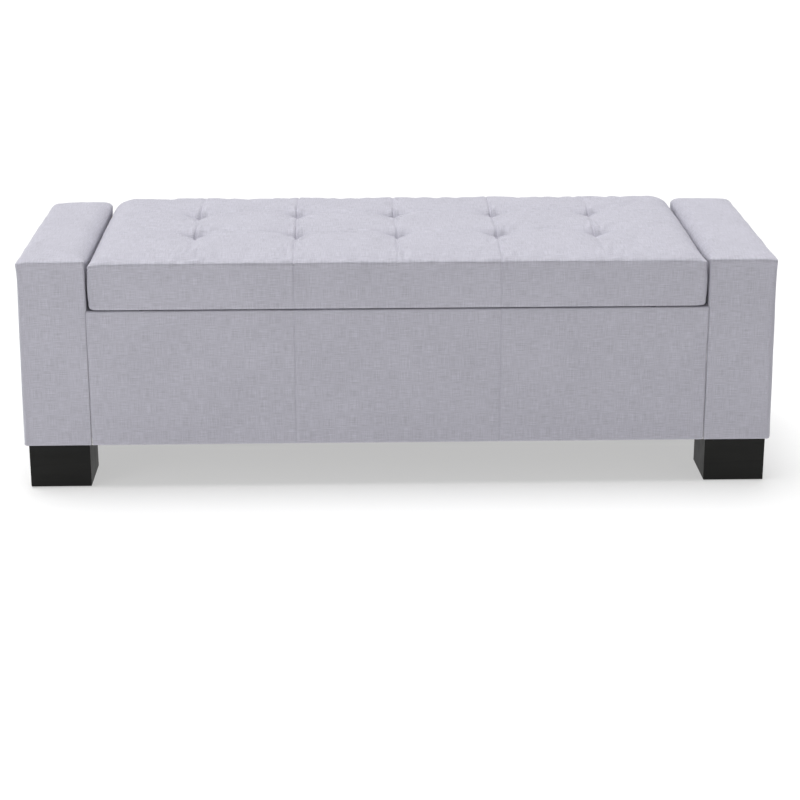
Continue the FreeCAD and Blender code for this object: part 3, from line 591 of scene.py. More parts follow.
class BENCH_OT_lid(bpy.types.Operator):
    """Makes the lid's tufted cover and the foam inside it."""

    bl_idname = "bench.lid"
    bl_label = "Lid cushion"

    def execute(self, context):
        middle, (a, b) = lid_plan()
        cloth = context.scene.bench_cloth
        tx, ty = TUFTS_X - middle[0], TUFTS_Y - middle[1]
        near = np.array([0.0, 0.0006, 0.0014, 0.003, 0.005, 0.0075, 0.0105, 0.014])
        x = spaced(-a + 0.018, a - 0.018, 0.0055, tx, 0.0015, 0.030)
        y = spaced(-b + 0.018, b - 0.018, 0.0045, ty, 0.0014, 0.024)
        x = np.concatenate([-a + near, x, a - near[::-1]])
        y = np.concatenate([-b + near, y, b - near[::-1]])
        folds = lid_folds()
        shape = boxed_skin(
            x, y, lambda u, v: lid_height(u, v) + folds(u, v), lid_wall(LID_LOW[2], LID_HEM)
        )
        cover = piece(
            "lid_cushion_cover", placed(shape[0], middle), shape[1], shape[2],
            finish("linen"), "lid",
        )
        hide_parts("lid_cover")
        thicken(cover, cloth.thickness)

        inset = cloth.thickness + CLEARANCE
        end = inset + 0.0022
        xs, ys = spaced(-a + end, a - end, 0.012), spaced(-b + inset, b - inset, 0.012)
        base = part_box("lid_foam")[0][2]
        pad = solid_block(xs, ys, lid_foam_top, base, 0.006)
        foam = piece(
            "lid_cushion_foam", placed(pad[0], middle), pad[1], None, finish("foam"), "lid"
        )
        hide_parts("lid_foam")
        return {"FINISHED"}


def solid_block(x, y, top, base, radius, side=1):
    """A closed padded block: a top panel, walls straight down and a flat bottom panel.

    The bottom panel is the top panel's grid at the base height, facing down.
    """

    def rows(rx, ry, rz, *_):
        for share in np.linspace(0.15, 1, 6):
            yield rx, ry, rz + (base - rz) * share

    points, faces, _ = boxed_skin(x, y, top, rows, side, (radius, radius))
    count = len(x) * len(y)
    rim = rim_order(len(x), len(y))
    bottom = points[:count].copy()
    bottom[:, 2] = base
    start = len(points)
    floor = grid_quads(len(x), len(y))[:, ::-1] + start
    last_ring = np.arange(start - len(rim), start)
    swap = np.arange(start + count)
    swap[start + rim] = last_ring
    return np.concatenate([points, bottom]), np.concatenate([faces, swap[floor]]), None


def arm_plan():
    """An arm's middle along the bench and across it, and its half sizes."""
    return (ARM_LOW + ARM_HIGH)[:2] / 2, (ARM_HIGH - ARM_LOW)[:2] / 2


def arm_height(side):
    """The height of an arm's top, about the arm's middle.

    It climbs evenly from the front seam to the back seam, swells between them by exponentials
    of the distance to each, and rolls over in quarters of ellipses at its two long edges. Its
    outer corners drop by exponentials of the distances to the edges. The left arm is stuffed a
    little fuller in front than the right, and its rear corner is softer.
    """
    s = bpy.context.scene.bench_arm
    _, (a, b) = arm_plan()
    fuller, rear_drop = (0.0040, 0.0080) if side < 0 else (0.0005, 0.0050)
    front_seam = FRONT_SEAM_Z + fuller

    def top(x, y):
        front, back = y + b, b - y
        inner, outer = a + x * side, a - x * side
        share = np.clip(front / (2 * b), 0, 1)
        rim = front_seam + (s.back_seam - front_seam) * share
        z = rim + s.edge_rise * rise(front, 0.010) * rise(back, 0.007)
        z = z + s.crown * (1 - (y / b) ** 2) * (1 - (x / a) ** 2)
        away = rise(front, 0.025) * (0.45 + 0.55 * rise(back, 0.030))
        z = z - s.inner_roll * away * rolled_over(inner, 0.004 + 0.026 * away)
        z = z - s.outer_roll * away * rolled_over(outer, 0.004 + 0.020 * away)
        z = z - 0.0055 * np.exp(-outer / 0.007) * (1 - away)
        z = z - rear_drop * np.exp(-outer / 0.020 - back / 0.10) * away
        ends = np.minimum(front, back)
        z = z + 0.0006 * rise(ends, 0.02) * ripple(x, y, 41 + side, 0.09)
        pucker = ripple(x, y * 0.25, 47 + side, 0.020) * np.exp(-ends / 0.012) * rise(ends, 0.004)
        return z + 0.0004 * pucker + 0.0009 * bell(ends - 0.004, 0.003)

    return top


def arm_wall(side, hem):
    """How an arm's wall runs: down to a rounded bottom edge and a hem, or into the box.

    Towards the box, the wall stops at the liner, or above the box's own fabric at its rails.
    """
    middle, (a, b) = arm_plan()
    low, rail_top = ARM_LOW[2], BOX_HIGH[2]
    front_rail, back_rail = BOX_HIGH[1], BACK_LOW[1]
    corner = 0.004

    def rows(rx, ry, rz, nx, ny):
        y = ry + middle[1]
        facing_box = (nx * side < -0.5) & (y < BACK_HIGH[1] - 0.0005)
        over_rail = (y < front_rail + 0.0004) | (y > back_rail - 0.0004)
        stop = np.where(facing_box, np.where(over_rail, rail_top, LINER_HIGH[2]), low)
        radius = np.where(facing_box, 0.0004, corner)
        outer_face = np.where(nx * side > 0, np.abs(nx), 0.0)
        height = rz - stop - radius
        along = np.where(np.abs(nx) > 0.5, ry, rx)
        seam = np.abs(ny) ** 2
        near_top = [0.004, 0.009, 0.015, 0.024, 0.036, 0.055]
        for share in np.concatenate([near_top, np.linspace(0.08, 1, 24)]):
            down = share * height
            out = -0.0012 * seam * bell(down, 0.0022) + 0.0005 * seam * bell(down - 0.005, 0.003)
            soft = np.where(facing_box, 0.0, 1.0) * np.minimum(down / 0.02, 1)
            out = out + soft * 0.0006 * ripple(along, down, 53 + side, 0.16)
            flare = np.minimum(down / 0.02, 1) * (0.0045 * share - 0.0015)
            out = out + outer_face * flare
            pucker = 0.0004 * ripple(along, down * 0.3, 59 + side, 0.022) * np.exp(-down / 0.014)
            out = out + seam * pucker * (1 - np.exp(-down / 0.003))
            yield rx + nx * out, ry + ny * out, rz - down
        for turn in np.linspace(0, math.pi / 2, 6)[1:]:
            out = -radius * (1 - np.cos(turn)) + 0.003 * outer_face
            yield rx + nx * out, ry + ny * out, stop + radius * (1 - np.sin(turn))
        for share in (0.4, 1.0):
            inner_x = side * np.clip(rx * side, -a + 0.0012, a - hem)
            inner_y = np.clip(ry, -b + hem, b - hem)
            tucked = 0.15 + 0.85 * share
            tx = np.where(
                facing_box, rx - nx * 0.0004 * (1 + share), rx + (inner_x - rx) * tucked
            )
            ty = np.where(facing_box, ry, ry + (inner_y - ry) * tucked)
            yield tx, ty, stop

    return rows


class BENCH_OT_arms(bpy.types.Operator):
    """Makes the two arms' covers, the foam on top of them and the wadding round them."""

    bl_idname = "bench.arms"
    bl_label = "Padded arms"

    def execute(self, context):
        (middle_x, middle_y), (a, b) = arm_plan()
        s = context.scene.bench_arm
        cloth = context.scene.bench_cloth
        for name, side in (("left", -1), ("right", 1)):
            middle = (middle_x * side, middle_y)
            edge = np.array([0.0, 0.0008, 0.0018, 0.0034, 0.0055, 0.008, 0.011, 0.0145])
            x = np.concatenate([-a + edge, spaced(-a + 0.018, a - 0.018, 0.005), a - edge[::-1]])
            y = np.concatenate([-b + edge, spaced(-b + 0.018, b - 0.018, 0.006), b - edge[::-1]])
            rails = np.array([BOX_HIGH[1], BACK_LOW[1], BACK_HIGH[1]]) - middle_y
            y = np.unique(np.concatenate([y, rails - 0.001, rails[:2] + 0.001, rails[2:] + 0.0002]))
            radii = (0.0030, s.outer_radius)
            shape = boxed_skin(x, y, arm_height(side), arm_wall(side, HEM), side, radii)
            cover = piece(
                f"{name}_arm_skin", placed(shape[0], middle), shape[1], shape[2],
                finish("linen"), "carcass",
            )
            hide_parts(f"{name}_arm_cover")
            thicken(cover, cloth.thickness)

            inset = cloth.thickness + CLEARANCE
            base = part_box(f"{name}_arm_foam")[0][2]
            left, right = (0.0004, 0.0030) if side > 0 else (0.0030, 0.0004)
            xs = spaced(-a + inset + left, a - inset - right, 0.008)
            ys = spaced(-b + inset, b - inset, 0.012)
            top = arm_height(side)
            pad = solid_block(xs, ys, lambda u, v: top(u, v * 0.99) - 0.004, base, 0.006)
            foam = piece(
                f"{name}_arm_pad", placed(pad[0], middle), pad[1], None,
                finish("foam"), "carcass",
            )
            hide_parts(f"{name}_arm_foam")
            self.wadding(name, side)
        return {"FINISHED"}

    def wadding(self, name, side):
        """A wrap of wadding round an arm's front, outer side and rear.

        Its plan is an open path with rounded corners, carried straight up.
        """
        low, high = (np.array(corner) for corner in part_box(f"{name}_arm_wadding"))
        slack = np.array([0.0024, 0.0014, 0.0])
        low, high = low + slack, high - slack
        inner = (low[0] if side > 0 else high[0]) - side * slack[0]
        outer = high[0] if side > 0 else low[0]
        r = 0.008
        turn = np.linspace(0, math.pi / 2, 7)
        out = outer - side * r
        sine, cosine = np.sin(turn), np.cos(turn)
        plan = np.concatenate([
            [[inner, low[1]]],
            np.stack([out + side * r * sine, low[1] + r * (1 - cosine)], axis=1),
            np.stack([out + side * r * cosine, high[1] - r * (1 - sine)], axis=1),
            [[inner, high[1]]],
        ])
        heights = np.linspace(low[2] + 0.0002, high[2], 24)
        z, k = np.meshgrid(heights, np.arange(len(plan)), indexing="ij")
        soft = 0.0003 * ripple(k * 0.05, z, 61, 0.05)
        points = np.stack([plan[k, 0] - side * np.abs(soft), plan[k, 1], z], axis=-1).reshape(-1, 3)
        quads = grid_quads(len(heights), len(plan))
        wrap = piece(
            f"{name}_arm_wrap", points, quads[:, ::-1] if side > 0 else quads, None,
            finish("wadding"), "carcass",
        )
        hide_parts(f"{name}_arm_wadding")
        thicken(wrap, 0.0030)


def panel_profile(outside, rail_face, top, low, hem):
    """The outline of a box panel's cover across the bench: under, up, over and down inside.

    It is a list of (across, height) points with small arcs at the bottom and top edges.
    outside is the panel's outer face and rail_face where it comes down inside the box.
    """
    inward = 1 if rail_face > outside else -1
    r_low, r_top, r_in = 0.004, 0.003, 0.0015
    turn = np.linspace(0, math.pi / 2, 6)
    sine, cosine = np.sin(turn), np.cos(turn)
    parts = [
        (outside + inward * np.array([hem, hem * 0.5]), np.full(2, low)),
        (outside + inward * r_low * (1 - sine), low + r_low * (1 - cosine)),
        (np.full(30, outside), np.linspace(low + r_low, top - r_top, 32)[1:-1]),
        (outside + inward * r_top * (1 - cosine), top - r_top * (1 - sine)),
        (
            np.linspace(outside + inward * 0.008, rail_face - inward * 0.006, 5),
            np.full(5, top),
        ),
        (rail_face - inward * r_in * (1 - sine), top - r_in * (1 - cosine)),
        (np.full(4, rail_face), np.linspace(top - 0.008, LINER_HIGH[2], 4)),
    ]
    return np.concatenate([np.stack(part, axis=1) for part in parts])


class BENCH_OT_box_panels(bpy.types.Operator):
    """Makes the fabric covers of the box's front and back and the wadding behind the front."""

    bl_idname = "bench.box_panels"
    bl_label = "Box panels"

    def execute(self, context):
        cloth = context.scene.bench_cloth
        for name, low, high, facing in (
            ("front", BOX_LOW, BOX_HIGH, -1),
            ("back", BACK_LOW, BACK_HIGH, 1),
        ):
            outside = low[1] if facing < 0 else high[1]
            rail_face = high[1] if facing < 0 else low[1]
            profile = panel_profile(outside, rail_face, high[2], low[2], HEM)
            seams, end = SEAMS_X, high[0]
            edge = np.array([0.0008, 0.0018, 0.003, 0.0045, 0.007, 0.010])
            x = spaced(-end + 0.014, end - 0.014, 0.011, seams, 0.0012, 0.009)
            x = np.concatenate([[-end], -end + edge, x, end - edge[::-1], [end]])
            gx, k = np.meshgrid(x, np.arange(len(profile)), indexing="ij")
            y, z = profile[k, 0], profile[k, 1]
            face = np.clip((z - low[2]) / 0.004, 0, 1) * np.clip((high[2] - z) / 0.002, 0, 1)
            face = face * (np.abs(y - outside) < 0.0045)
            near = np.min([np.abs(gx - seam) for seam in seams] + [end - np.abs(gx)], axis=0)
            groove = sum(bell(gx - seam, 0.0015) for seam in seams) + bell(end - np.abs(gx), 0.0018)
            share = np.clip((z - low[2]) / (high[2] - low[2]), 0, 1)
            puff = 0.0009 * rise(near, 0.016) * np.sin(math.pi * share) ** 0.5
            pucker = 0.0003 * ripple(gx, z, 71 + facing, 0.03) * np.exp(-near / 0.02)
            loose = 0.0005 * ripple(gx, z, 73 + facing, 0.14)
            drawn_in = 0.0013 if facing < 0 else 0.0004
            shift = face * (puff + pucker + loose) - drawn_in * groove * (face > 0)
            if facing > 0:
                shift = np.clip(shift + 0.0004, -0.0001, 0.0009)
            points = np.stack([gx, y + facing * shift, z], axis=-1).reshape(-1, 3)
            run = np.concatenate([[0], np.cumsum(np.linalg.norm(np.diff(profile, axis=0), axis=1))])
            uv = np.stack([gx, run[k]], axis=-1).reshape(-1, 2)
            quads = grid_quads(len(x), len(profile))
            cover = piece(
                f"{name}_panel_cover", points, quads if facing < 0 else quads[:, ::-1], uv,
                finish("linen"), "carcass",
            )
            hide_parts(f"{name}_cover")
            thicken(cover, cloth.thickness)
        low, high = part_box("front_wadding")
        x = spaced(low[0], high[0], 0.02, SEAMS_X, 0.0015, 0.012)
        z = spaced(low[2], high[2], 0.01)
        gx, gz = np.meshgrid(x, z, indexing="ij")
        seams = sum(bell(gx - seam, 0.0035) for seam in SEAMS_X)
        y = low[1] + 0.0004 + 0.0003 * ripple(gx, gz, 79, 0.05) + 0.0022 * seams
        pad = piece(
            "front_panel_wadding", np.stack([gx, y, gz], axis=-1).reshape(-1, 3),
            grid_quads(len(x), len(z)), None, finish("wadding"), "carcass",
        )
        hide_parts("front_wadding")
        thicken(pad, 0.0044)
        return {"FINISHED"}


def staple_row(starts, ends, step, margin):
    """The middles and directions of staples about step apart along the sides of a rectangle.

    starts and ends are its low and high corners and margin how far inside it they lie.
    """
    low, high = np.array(starts[:2]) + margin, np.array(ends[:2]) - margin
    places = []
    for x in spaced(low[0], high[0], step):
        places += [(x, low[1], 0.0), (x, high[1], 0.0)]
    for y in spaced(low[1], high[1], step)[1:-1]:
        places += [(low[0], y, math.pi / 2), (high[0], y, math.pi / 2)]
    return places


def staples(name, places, z, body):
    """Wire staples seen from below: round bars whose bent ends dive into the board.

    Each bar's axis is a superellipse arch, 10 mm wide and 0.35 mm proud, and its section a
    flattened ring of six points. All are one mesh.
    """
    rng = np.random.default_rng(17)
    half_width, flat, thin, dive = 0.005, 0.0005, 0.00035, 0.0008
    along = np.linspace(-1, 1, 9)
    arch = (1 - np.abs(along) ** 8) ** (1 / 8)
    turn = np.linspace(0, 2 * math.pi, 7)[:-1]
    a, t = np.meshgrid(np.arange(9), turn, indexing="ij")
    axis = -thin * arch[a] + dive * (1 - arch[a])
    bar = np.stack(
        [half_width * along[a], flat * np.cos(t), axis + thin * np.sin(t)], axis=-1
    ).reshape(-1, 3)
    ring = np.arange(6)
    quads = np.concatenate([
        np.stack([ring, ring + 6, (ring + 1) % 6 + 6, (ring + 1) % 6], axis=1) + k * 6
        for k in range(8)
    ])
    points, faces = [], []
    for index, (x, y, angle) in enumerate(places):
        angle += rng.uniform(-0.12, 0.12)
        c, s = math.cos(angle), math.sin(angle)
        spun = bar @ np.array([[c, s, 0], [-s, c, 0], [0, 0, 1]])
        points.append(spun + np.array([x + rng.uniform(-0.002, 0.002) * c, y, z]))
        faces.append(quads + index * len(bar))
    return piece(
        name, np.concatenate(points), np.concatenate(faces), None,
        finish("zinc"), body,
    )


class BENCH_OT_linings(bpy.types.Operator):
    """Makes the black cloth linings: the storage liner and the covers under box and lid."""

    bl_idname = "bench.linings"
    bl_label = "Cloth linings"

    def execute(self, context):
        self.liner()
        self.under_sheet("underside_cover", "underside_lining", "carcass", 0.0016)
        self.under_sheet("lid_underside_cover", "lid_lining", "lid", 0.0)
        for node, name, body in (
            ("underside_cover", "underside_staples", "carcass"),
            ("lid_underside_cover", "lid_staples", "lid"),
        ):
            low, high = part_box(node)
            staples(name, staple_row(low, high, 0.045, 0.007), low[2], body)
        return {"FINISHED"}

    def liner(self):
        """The storage liner: a tray of thin cloth with upright walls.

        The floor is a grid with rounded plan corners, and its rim is carried up the walls.
        """
        low, high = LINER_LOW, LINER_HIGH
        thick = 0.0008
        a, b = (high - low)[:2] / 2 - thick
        middle = (high + low)[:2] / 2
        x, y = spaced(-a, a, 0.014), spaced(-b, b, 0.014)
        floor_z = low[2] + thick

        def floor(u, v):
            near = rise(a - np.abs(u), 0.02) * rise(b - np.abs(v), 0.02)
            return floor_z + 0.0009 * near * (1 + 0.6 * ripple(u, v, 83, 0.16))

        def rows(rx, ry, rz, nx, ny):
            for share in np.linspace(0.04, 1, 18):
                z = rz + (high[2] - rz) * share
                along = np.where(np.abs(nx) > 0.5, ry, rx)
                soft = 0.0007 * np.abs(ny) ** 4 * (1 + ripple(along, z, 89, 0.12)) / 2
                soft = soft * np.minimum((high[2] - z) / 0.02, 1)
                yield rx - nx * soft, ry - ny * soft, z

        points, faces, uv = boxed_skin(x, y, floor, rows, 1, (0.004, 0.004))
        tray = piece(
            "storage_lining", placed(points, middle), faces, uv,
            finish("black felt"), "carcass",
        )
        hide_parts("storage_liner")
        thicken(tray, thick)

    def under_sheet(self, node, name, body, sag):
        """A sheet of thin cloth under a board, with a little slack.

        Its height falls by sag in the middle, as the product of two half sine waves.
        """
        low, high = (np.array(corner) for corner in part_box(node))
        x, y = spaced(low[0], high[0], 0.011), spaced(low[1], high[1], 0.011)
        gx, gy = np.meshgrid(x, y, indexing="ij")
        u, v = (gx - low[0]) / (high[0] - low[0]), (gy - low[1]) / (high[1] - low[1])
        z = high[2] - 0.0001 - sag * np.sin(math.pi * u) ** 0.5 * np.sin(math.pi * v) ** 0.5
        z = z - 0.0003 * (1 + ripple(gx, gy, 97, 0.13)) / 2 * (sag > 0)
        sheet = piece(
            name, np.stack([gx, gy, z], axis=-1).reshape(-1, 3),
            grid_quads(len(x), len(y)), np.stack([gx, gy], axis=-1).reshape(-1, 2),
            finish("black felt"), body,
        )
        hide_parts(node)
        thicken(sheet, 0.0005)


# ---------------------------------------------------------------------------- finishes


def group_tree(name, inputs, outputs):
    """An empty shader node group with the given sockets, and its input and output nodes."""
    tree = bpy.data.node_groups.new(name, "ShaderNodeTree")
    for label, kind, default in inputs:
        socket = tree.interface.new_socket(name=label, in_out="INPUT", socket_type=kind)
        if default is not None:
            socket.default_value = default
    for label, kind in outputs:
        tree.interface.new_socket(name=label, in_out="OUTPUT", socket_type=kind)
    return tree, tree.nodes.new("NodeGroupInput"), tree.nodes.new("NodeGroupOutput")


def math_node(tree, operation, first, second=None, third=None):
    """A Math node on sockets or numbers. It returns its output socket."""
    node = tree.nodes.new("ShaderNodeMath")
    node.operation = operation
    for index, value in enumerate((first, second, third)):
        if value is None:
            continue
        if isinstance(value, (int, float)):
            node.inputs[index].default_value = value
        else:
            tree.links.new(value, node.inputs[index])
    return node.outputs[0]


def noise_node(tree, vector, scale, detail=2.0, roughness=0.5):
    """A Noise Texture on a vector socket. It returns its value."""
    node = tree.nodes.new("ShaderNodeTexNoise")
    node.inputs["Scale"].default_value = scale
    node.inputs["Detail"].default_value = detail
    node.inputs["Roughness"].default_value = roughness
    tree.links.new(vector, node.inputs["Vector"])
    return node.outputs["Fac"]


def stretched(tree, vector, scale):
    """A vector socket multiplied by three numbers."""
    node = tree.nodes.new("ShaderNodeVectorMath")
    node.operation = "MULTIPLY"
    node.inputs[1].default_value = scale
    tree.links.new(vector, node.inputs[0])
    return node.outputs[0]


def mixed(tree, factor, first, second):
    """A Mix Colour node. Colours are sockets or four numbers."""
    node = tree.nodes.new("ShaderNodeMix")
    node.data_type = "RGBA"
    for index, value in ((0, factor), (6, first), (7, second)):
        if isinstance(value, (int, float, tuple)):
            node.inputs[index].default_value = value
        else:
            tree.links.new(value, node.inputs[index])
    return node.outputs[2]


def weave_group():
    """The woven look: crossing threads with slubs, from a place on the cloth in metres."""
    tree, source, result = group_tree(
        "Plain weave",
        [
            ("Vector", "NodeSocketVector", None),
            ("Pitch", "NodeSocketFloat", 0.001),
            ("Slub", "NodeSocketFloat", 0.5),
            ("Dark", "NodeSocketColor", (0.3, 0.3, 0.3, 1)),
            ("Light", "NodeSocketColor", (0.6, 0.6, 0.6, 1)),
        ],
        [
            ("Color", "NodeSocketColor"),
            ("Height", "NodeSocketFloat"),
            ("Roughness", "NodeSocketFloat"),
        ],
    )
    vector = source.outputs["Vector"]
    split = tree.nodes.new("ShaderNodeSeparateXYZ")
    tree.links.new(vector, split.inputs[0])
    wobble = noise_node(tree, vector, 160.0, 1.0)
    wander = math_node(tree, "MULTIPLY", wobble, 0.0012)
    waves = []
    for axis in ("X", "Y"):
        place = math_node(tree, "ADD", split.outputs[axis], wander)
        turns = math_node(tree, "DIVIDE", place, source.outputs["Pitch"])
        waves.append(math_node(tree, "SINE", math_node(tree, "MULTIPLY", turns, math.pi)))
    crossing = math_node(tree, "MULTIPLY", waves[0], waves[1])
    knit = math_node(tree, "MULTIPLY_ADD", crossing, 0.5, 0.5)
    weft = noise_node(tree, stretched(tree, vector, (45.0, 900.0, 1.0)), 1.0, 2.0, 0.6)
    warp = noise_node(tree, stretched(tree, vector, (900.0, 38.0, 1.0)), 1.0, 2.0, 0.6)
    slubs = math_node(tree, "ADD", weft, math_node(tree, "MULTIPLY", warp, 0.8))
    slubs = math_node(tree, "SUBTRACT", slubs, 0.9)
    strength = math_node(tree, "MULTIPLY", slubs, source.outputs["Slub"])
    blotch = math_node(tree, "MULTIPLY_ADD", noise_node(tree, vector, 9.0, 3.0), 0.25, -0.125)
    shade = math_node(tree, "MULTIPLY_ADD", knit, 0.35, 0.32)
    shade = math_node(tree, "ADD", shade, math_node(tree, "MULTIPLY", strength, 2.4))
    shade = math_node(tree, "ADD", shade, blotch)
    clamp = tree.nodes.new("ShaderNodeClamp")
    tree.links.new(shade, clamp.inputs[0])
    colour = mixed(tree, clamp.outputs[0], source.outputs["Dark"], source.outputs["Light"])
    height = math_node(tree, "ADD", knit, math_node(tree, "MULTIPLY", strength, 2.0))
    rough = math_node(tree, "MULTIPLY_ADD", knit, -0.08, 0.92)
    for value, label in ((colour, "Color"), (height, "Height"), (rough, "Roughness")):
        tree.links.new(value, result.inputs[label])
    return tree


def grain_group():
    """Wood grain along one axis: growth bands bent by noise, with fine pores."""
    tree, source, result = group_tree(
        "Wood grain",
        [
            ("Vector", "NodeSocketVector", None),
            ("Dark", "NodeSocketColor", (0.3, 0.2, 0.1, 1)),
            ("Light", "NodeSocketColor", (0.6, 0.4, 0.2, 1)),
        ],
        [("Color", "NodeSocketColor"), ("Height", "NodeSocketFloat")],
    )
    vector = source.outputs["Vector"]
    bands = noise_node(tree, stretched(tree, vector, (1.4, 16.0, 16.0)), 1.0, 3.0, 0.55)
    pores = noise_node(tree, stretched(tree, vector, (14.0, 700.0, 700.0)), 1.0, 2.0, 0.6)
    rings = math_node(tree, "FRACT", math_node(tree, "MULTIPLY", bands, 7.0))
    rings = math_node(tree, "POWER", rings, 1.6)
    shade = math_node(tree, "MULTIPLY_ADD", pores, 0.5, math_node(tree, "MULTIPLY", rings, 0.45))
    colour = mixed(tree, shade, source.outputs["Light"], source.outputs["Dark"])
    tree.links.new(colour, result.inputs["Color"])
    tree.links.new(math_node(tree, "MULTIPLY", pores, -1.0), result.inputs["Height"])
    return tree


def speckle_group():
    """Fine unevenness and wear for hard surfaces: a roughness, a height and a dust mask."""
    tree, source, result = group_tree(
        "Fine wear",
        [("Vector", "NodeSocketVector", None), ("Scale", "NodeSocketFloat", 1.0)],
        [("Streak", "NodeSocketFloat"), ("Grit", "NodeSocketFloat"), ("Cloud", "NodeSocketFloat")],
    )
    node = tree.nodes.new("ShaderNodeVectorMath")
    node.operation = "SCALE"
    tree.links.new(source.outputs["Vector"], node.inputs[0])
    tree.links.new(source.outputs["Scale"], node.inputs["Scale"])
    vector = node.outputs[0]
    streak = noise_node(tree, stretched(tree, vector, (30.0, 900.0, 900.0)), 1.0, 2.0, 0.6)
    tree.links.new(streak, result.inputs["Streak"])
    tree.links.new(noise_node(tree, vector, 1200.0, 2.0, 0.6), result.inputs["Grit"])
    tree.links.new(noise_node(tree, vector, 28.0, 4.0, 0.6), result.inputs["Cloud"])
    return tree


def group_in(tree, name, vector, **values):
    """Places a shared group in a material and sets its inputs."""
    makers = {"Plain weave": weave_group, "Wood grain": grain_group, "Fine wear": speckle_group}
    shared = bpy.data.node_groups.get(name) or makers[name]()
    node = tree.nodes.new("ShaderNodeGroup")
    node.node_tree = shared
    tree.links.new(vector, node.inputs["Vector"])
    for label, value in values.items():
        node.inputs[label.replace("_", " ")].default_value = value
    return node


def shaded(name):
    """A new material with its tree, its Principled shader and its place sockets."""
    material = bpy.data.materials.new(name)
    material.use_nodes = True
    tree = material.node_tree
    shader = tree.nodes["Principled BSDF"]
    place = tree.nodes.new("ShaderNodeTexCoord")
    return material, tree, shader, place


def bumped(tree, shader, height, strength, distance):
    """Feeds a height through a Bump node into the shader's normal."""
    bump = tree.nodes.new("ShaderNodeBump")
    bump.inputs["Strength"].default_value = strength
    bump.inputs["Distance"].default_value = distance
    tree.links.new(height, bump.inputs["Height"])
    tree.links.new(bump.outputs[0], shader.inputs["Normal"])


def tone(colour, factor):
    """A colour made darker or lighter, with full alpha."""
    return (*(min(channel * factor, 1.0) for channel in colour), 1.0)


def linen():
    """The covers' woven cloth, placed by the cloth's own map."""
    s = bpy.context.scene.bench_cloth
    material, tree, shader, _ = shaded("Grey linen weave")
    own = tree.nodes.new("ShaderNodeUVMap")
    own.uv_map = "cloth"
    weave = group_in(
        tree, "Plain weave", own.outputs[0], Pitch=s.thread, Slub=0.55,
        Dark=tone(s.colour, 0.74), Light=tone(s.colour, 1.24),
    )
    tree.links.new(weave.outputs["Color"], shader.inputs["Base Color"])
    tree.links.new(weave.outputs["Roughness"], shader.inputs["Roughness"])
    shader.inputs["Specular IOR Level"].default_value = 0.25
    shader.inputs["Sheen Weight"].default_value = 0.12
    shader.inputs["Sheen Roughness"].default_value = 0.5
    bumped(tree, shader, weave.outputs["Height"], 0.45, 0.0004)
    return material


def wood(name, colour, dark=0.72):
    """Bare wood with grain along the bench."""
    material, tree, shader, place = shaded(name)
    grain = group_in(
        tree, "Wood grain", place.outputs["Object"],
        Dark=tone(colour, dark), Light=tone(colour, 1.08),
    )
    wear = group_in(tree, "Fine wear", place.outputs["Object"])
    tree.links.new(grain.outputs["Color"], shader.inputs["Base Color"])
    rough = math_node(tree, "MULTIPLY_ADD", wear.outputs["Cloud"], 0.2, 0.55)
    tree.links.new(rough, shader.inputs["Roughness"])
    bumped(tree, shader, grain.outputs["Height"], 0.3, 0.0003)
    return material


def lacquer():
    """Black satin lacquer on wood: faint grain and slightly uneven gloss."""
    material, tree, shader, place = shaded("Black satin lacquer")
    grain = group_in(
        tree, "Wood grain", place.outputs["Object"],
        Dark=(0.0035, 0.0036, 0.0032, 1), Light=(0.0080, 0.0082, 0.0072, 1),
    )
    wear = group_in(tree, "Fine wear", place.outputs["Object"])
    tree.links.new(grain.outputs["Color"], shader.inputs["Base Color"])
    rough = math_node(tree, "MULTIPLY_ADD", wear.outputs["Cloud"], 0.22, 0.34)
    tree.links.new(rough, shader.inputs["Roughness"])
    shader.inputs["Specular IOR Level"].default_value = 0.2
    bumped(tree, shader, grain.outputs["Height"], 0.2, 0.0002)
    return material


def zinc():
    """Bright zinc plate with faint streaks and dull patches."""
    material, tree, shader, place = shaded("Zinc plated steel")
    wear = group_in(tree, "Fine wear", place.outputs["Object"])
    shader.inputs["Metallic"].default_value = 1.0
    colour = mixed(tree, wear.outputs["Cloud"], (0.50, 0.51, 0.53, 1), (0.70, 0.70, 0.69, 1))
    tree.links.new(colour, shader.inputs["Base Color"])
    rough = math_node(tree, "MULTIPLY_ADD", wear.outputs["Streak"], 0.3, 0.18)
    tree.links.new(rough, shader.inputs["Roughness"])
    bumped(tree, shader, wear.outputs["Streak"], 0.12, 0.0002)
    return material


def plain(name, dark, light, rough, grit=0.3, depth=0.0003):
    """A finish of two close colours with a gritty surface."""
    material, tree, shader, place = shaded(name)
    wear = group_in(tree, "Fine wear", place.outputs["Object"])
    colour = mixed(tree, wear.outputs["Grit"], (*dark, 1), (*light, 1))
    tree.links.new(colour, shader.inputs["Base Color"])
    value = math_node(tree, "MULTIPLY_ADD", wear.outputs["Cloud"], 0.15, rough - 0.07)
    tree.links.new(value, shader.inputs["Roughness"])
    bumped(tree, shader, wear.outputs["Grit"], grit, depth)
    return material


def lit_floor():
    """A plain white floor that is also lit from below, as on a light table."""
    material, _, shader, _ = shaded("Lit white floor")
    shader.inputs["Base Color"].default_value = (0.48, 0.48, 0.48, 1)
    shader.inputs["Roughness"].default_value = 0.8
    shader.inputs["Specular IOR Level"].default_value = 0.1
    shader.inputs["Emission Color"].default_value = (1.0, 1.0, 0.995, 1)
    shader.inputs["Emission Strength"].default_value = bpy.context.scene.bench_stage.glow
    return material


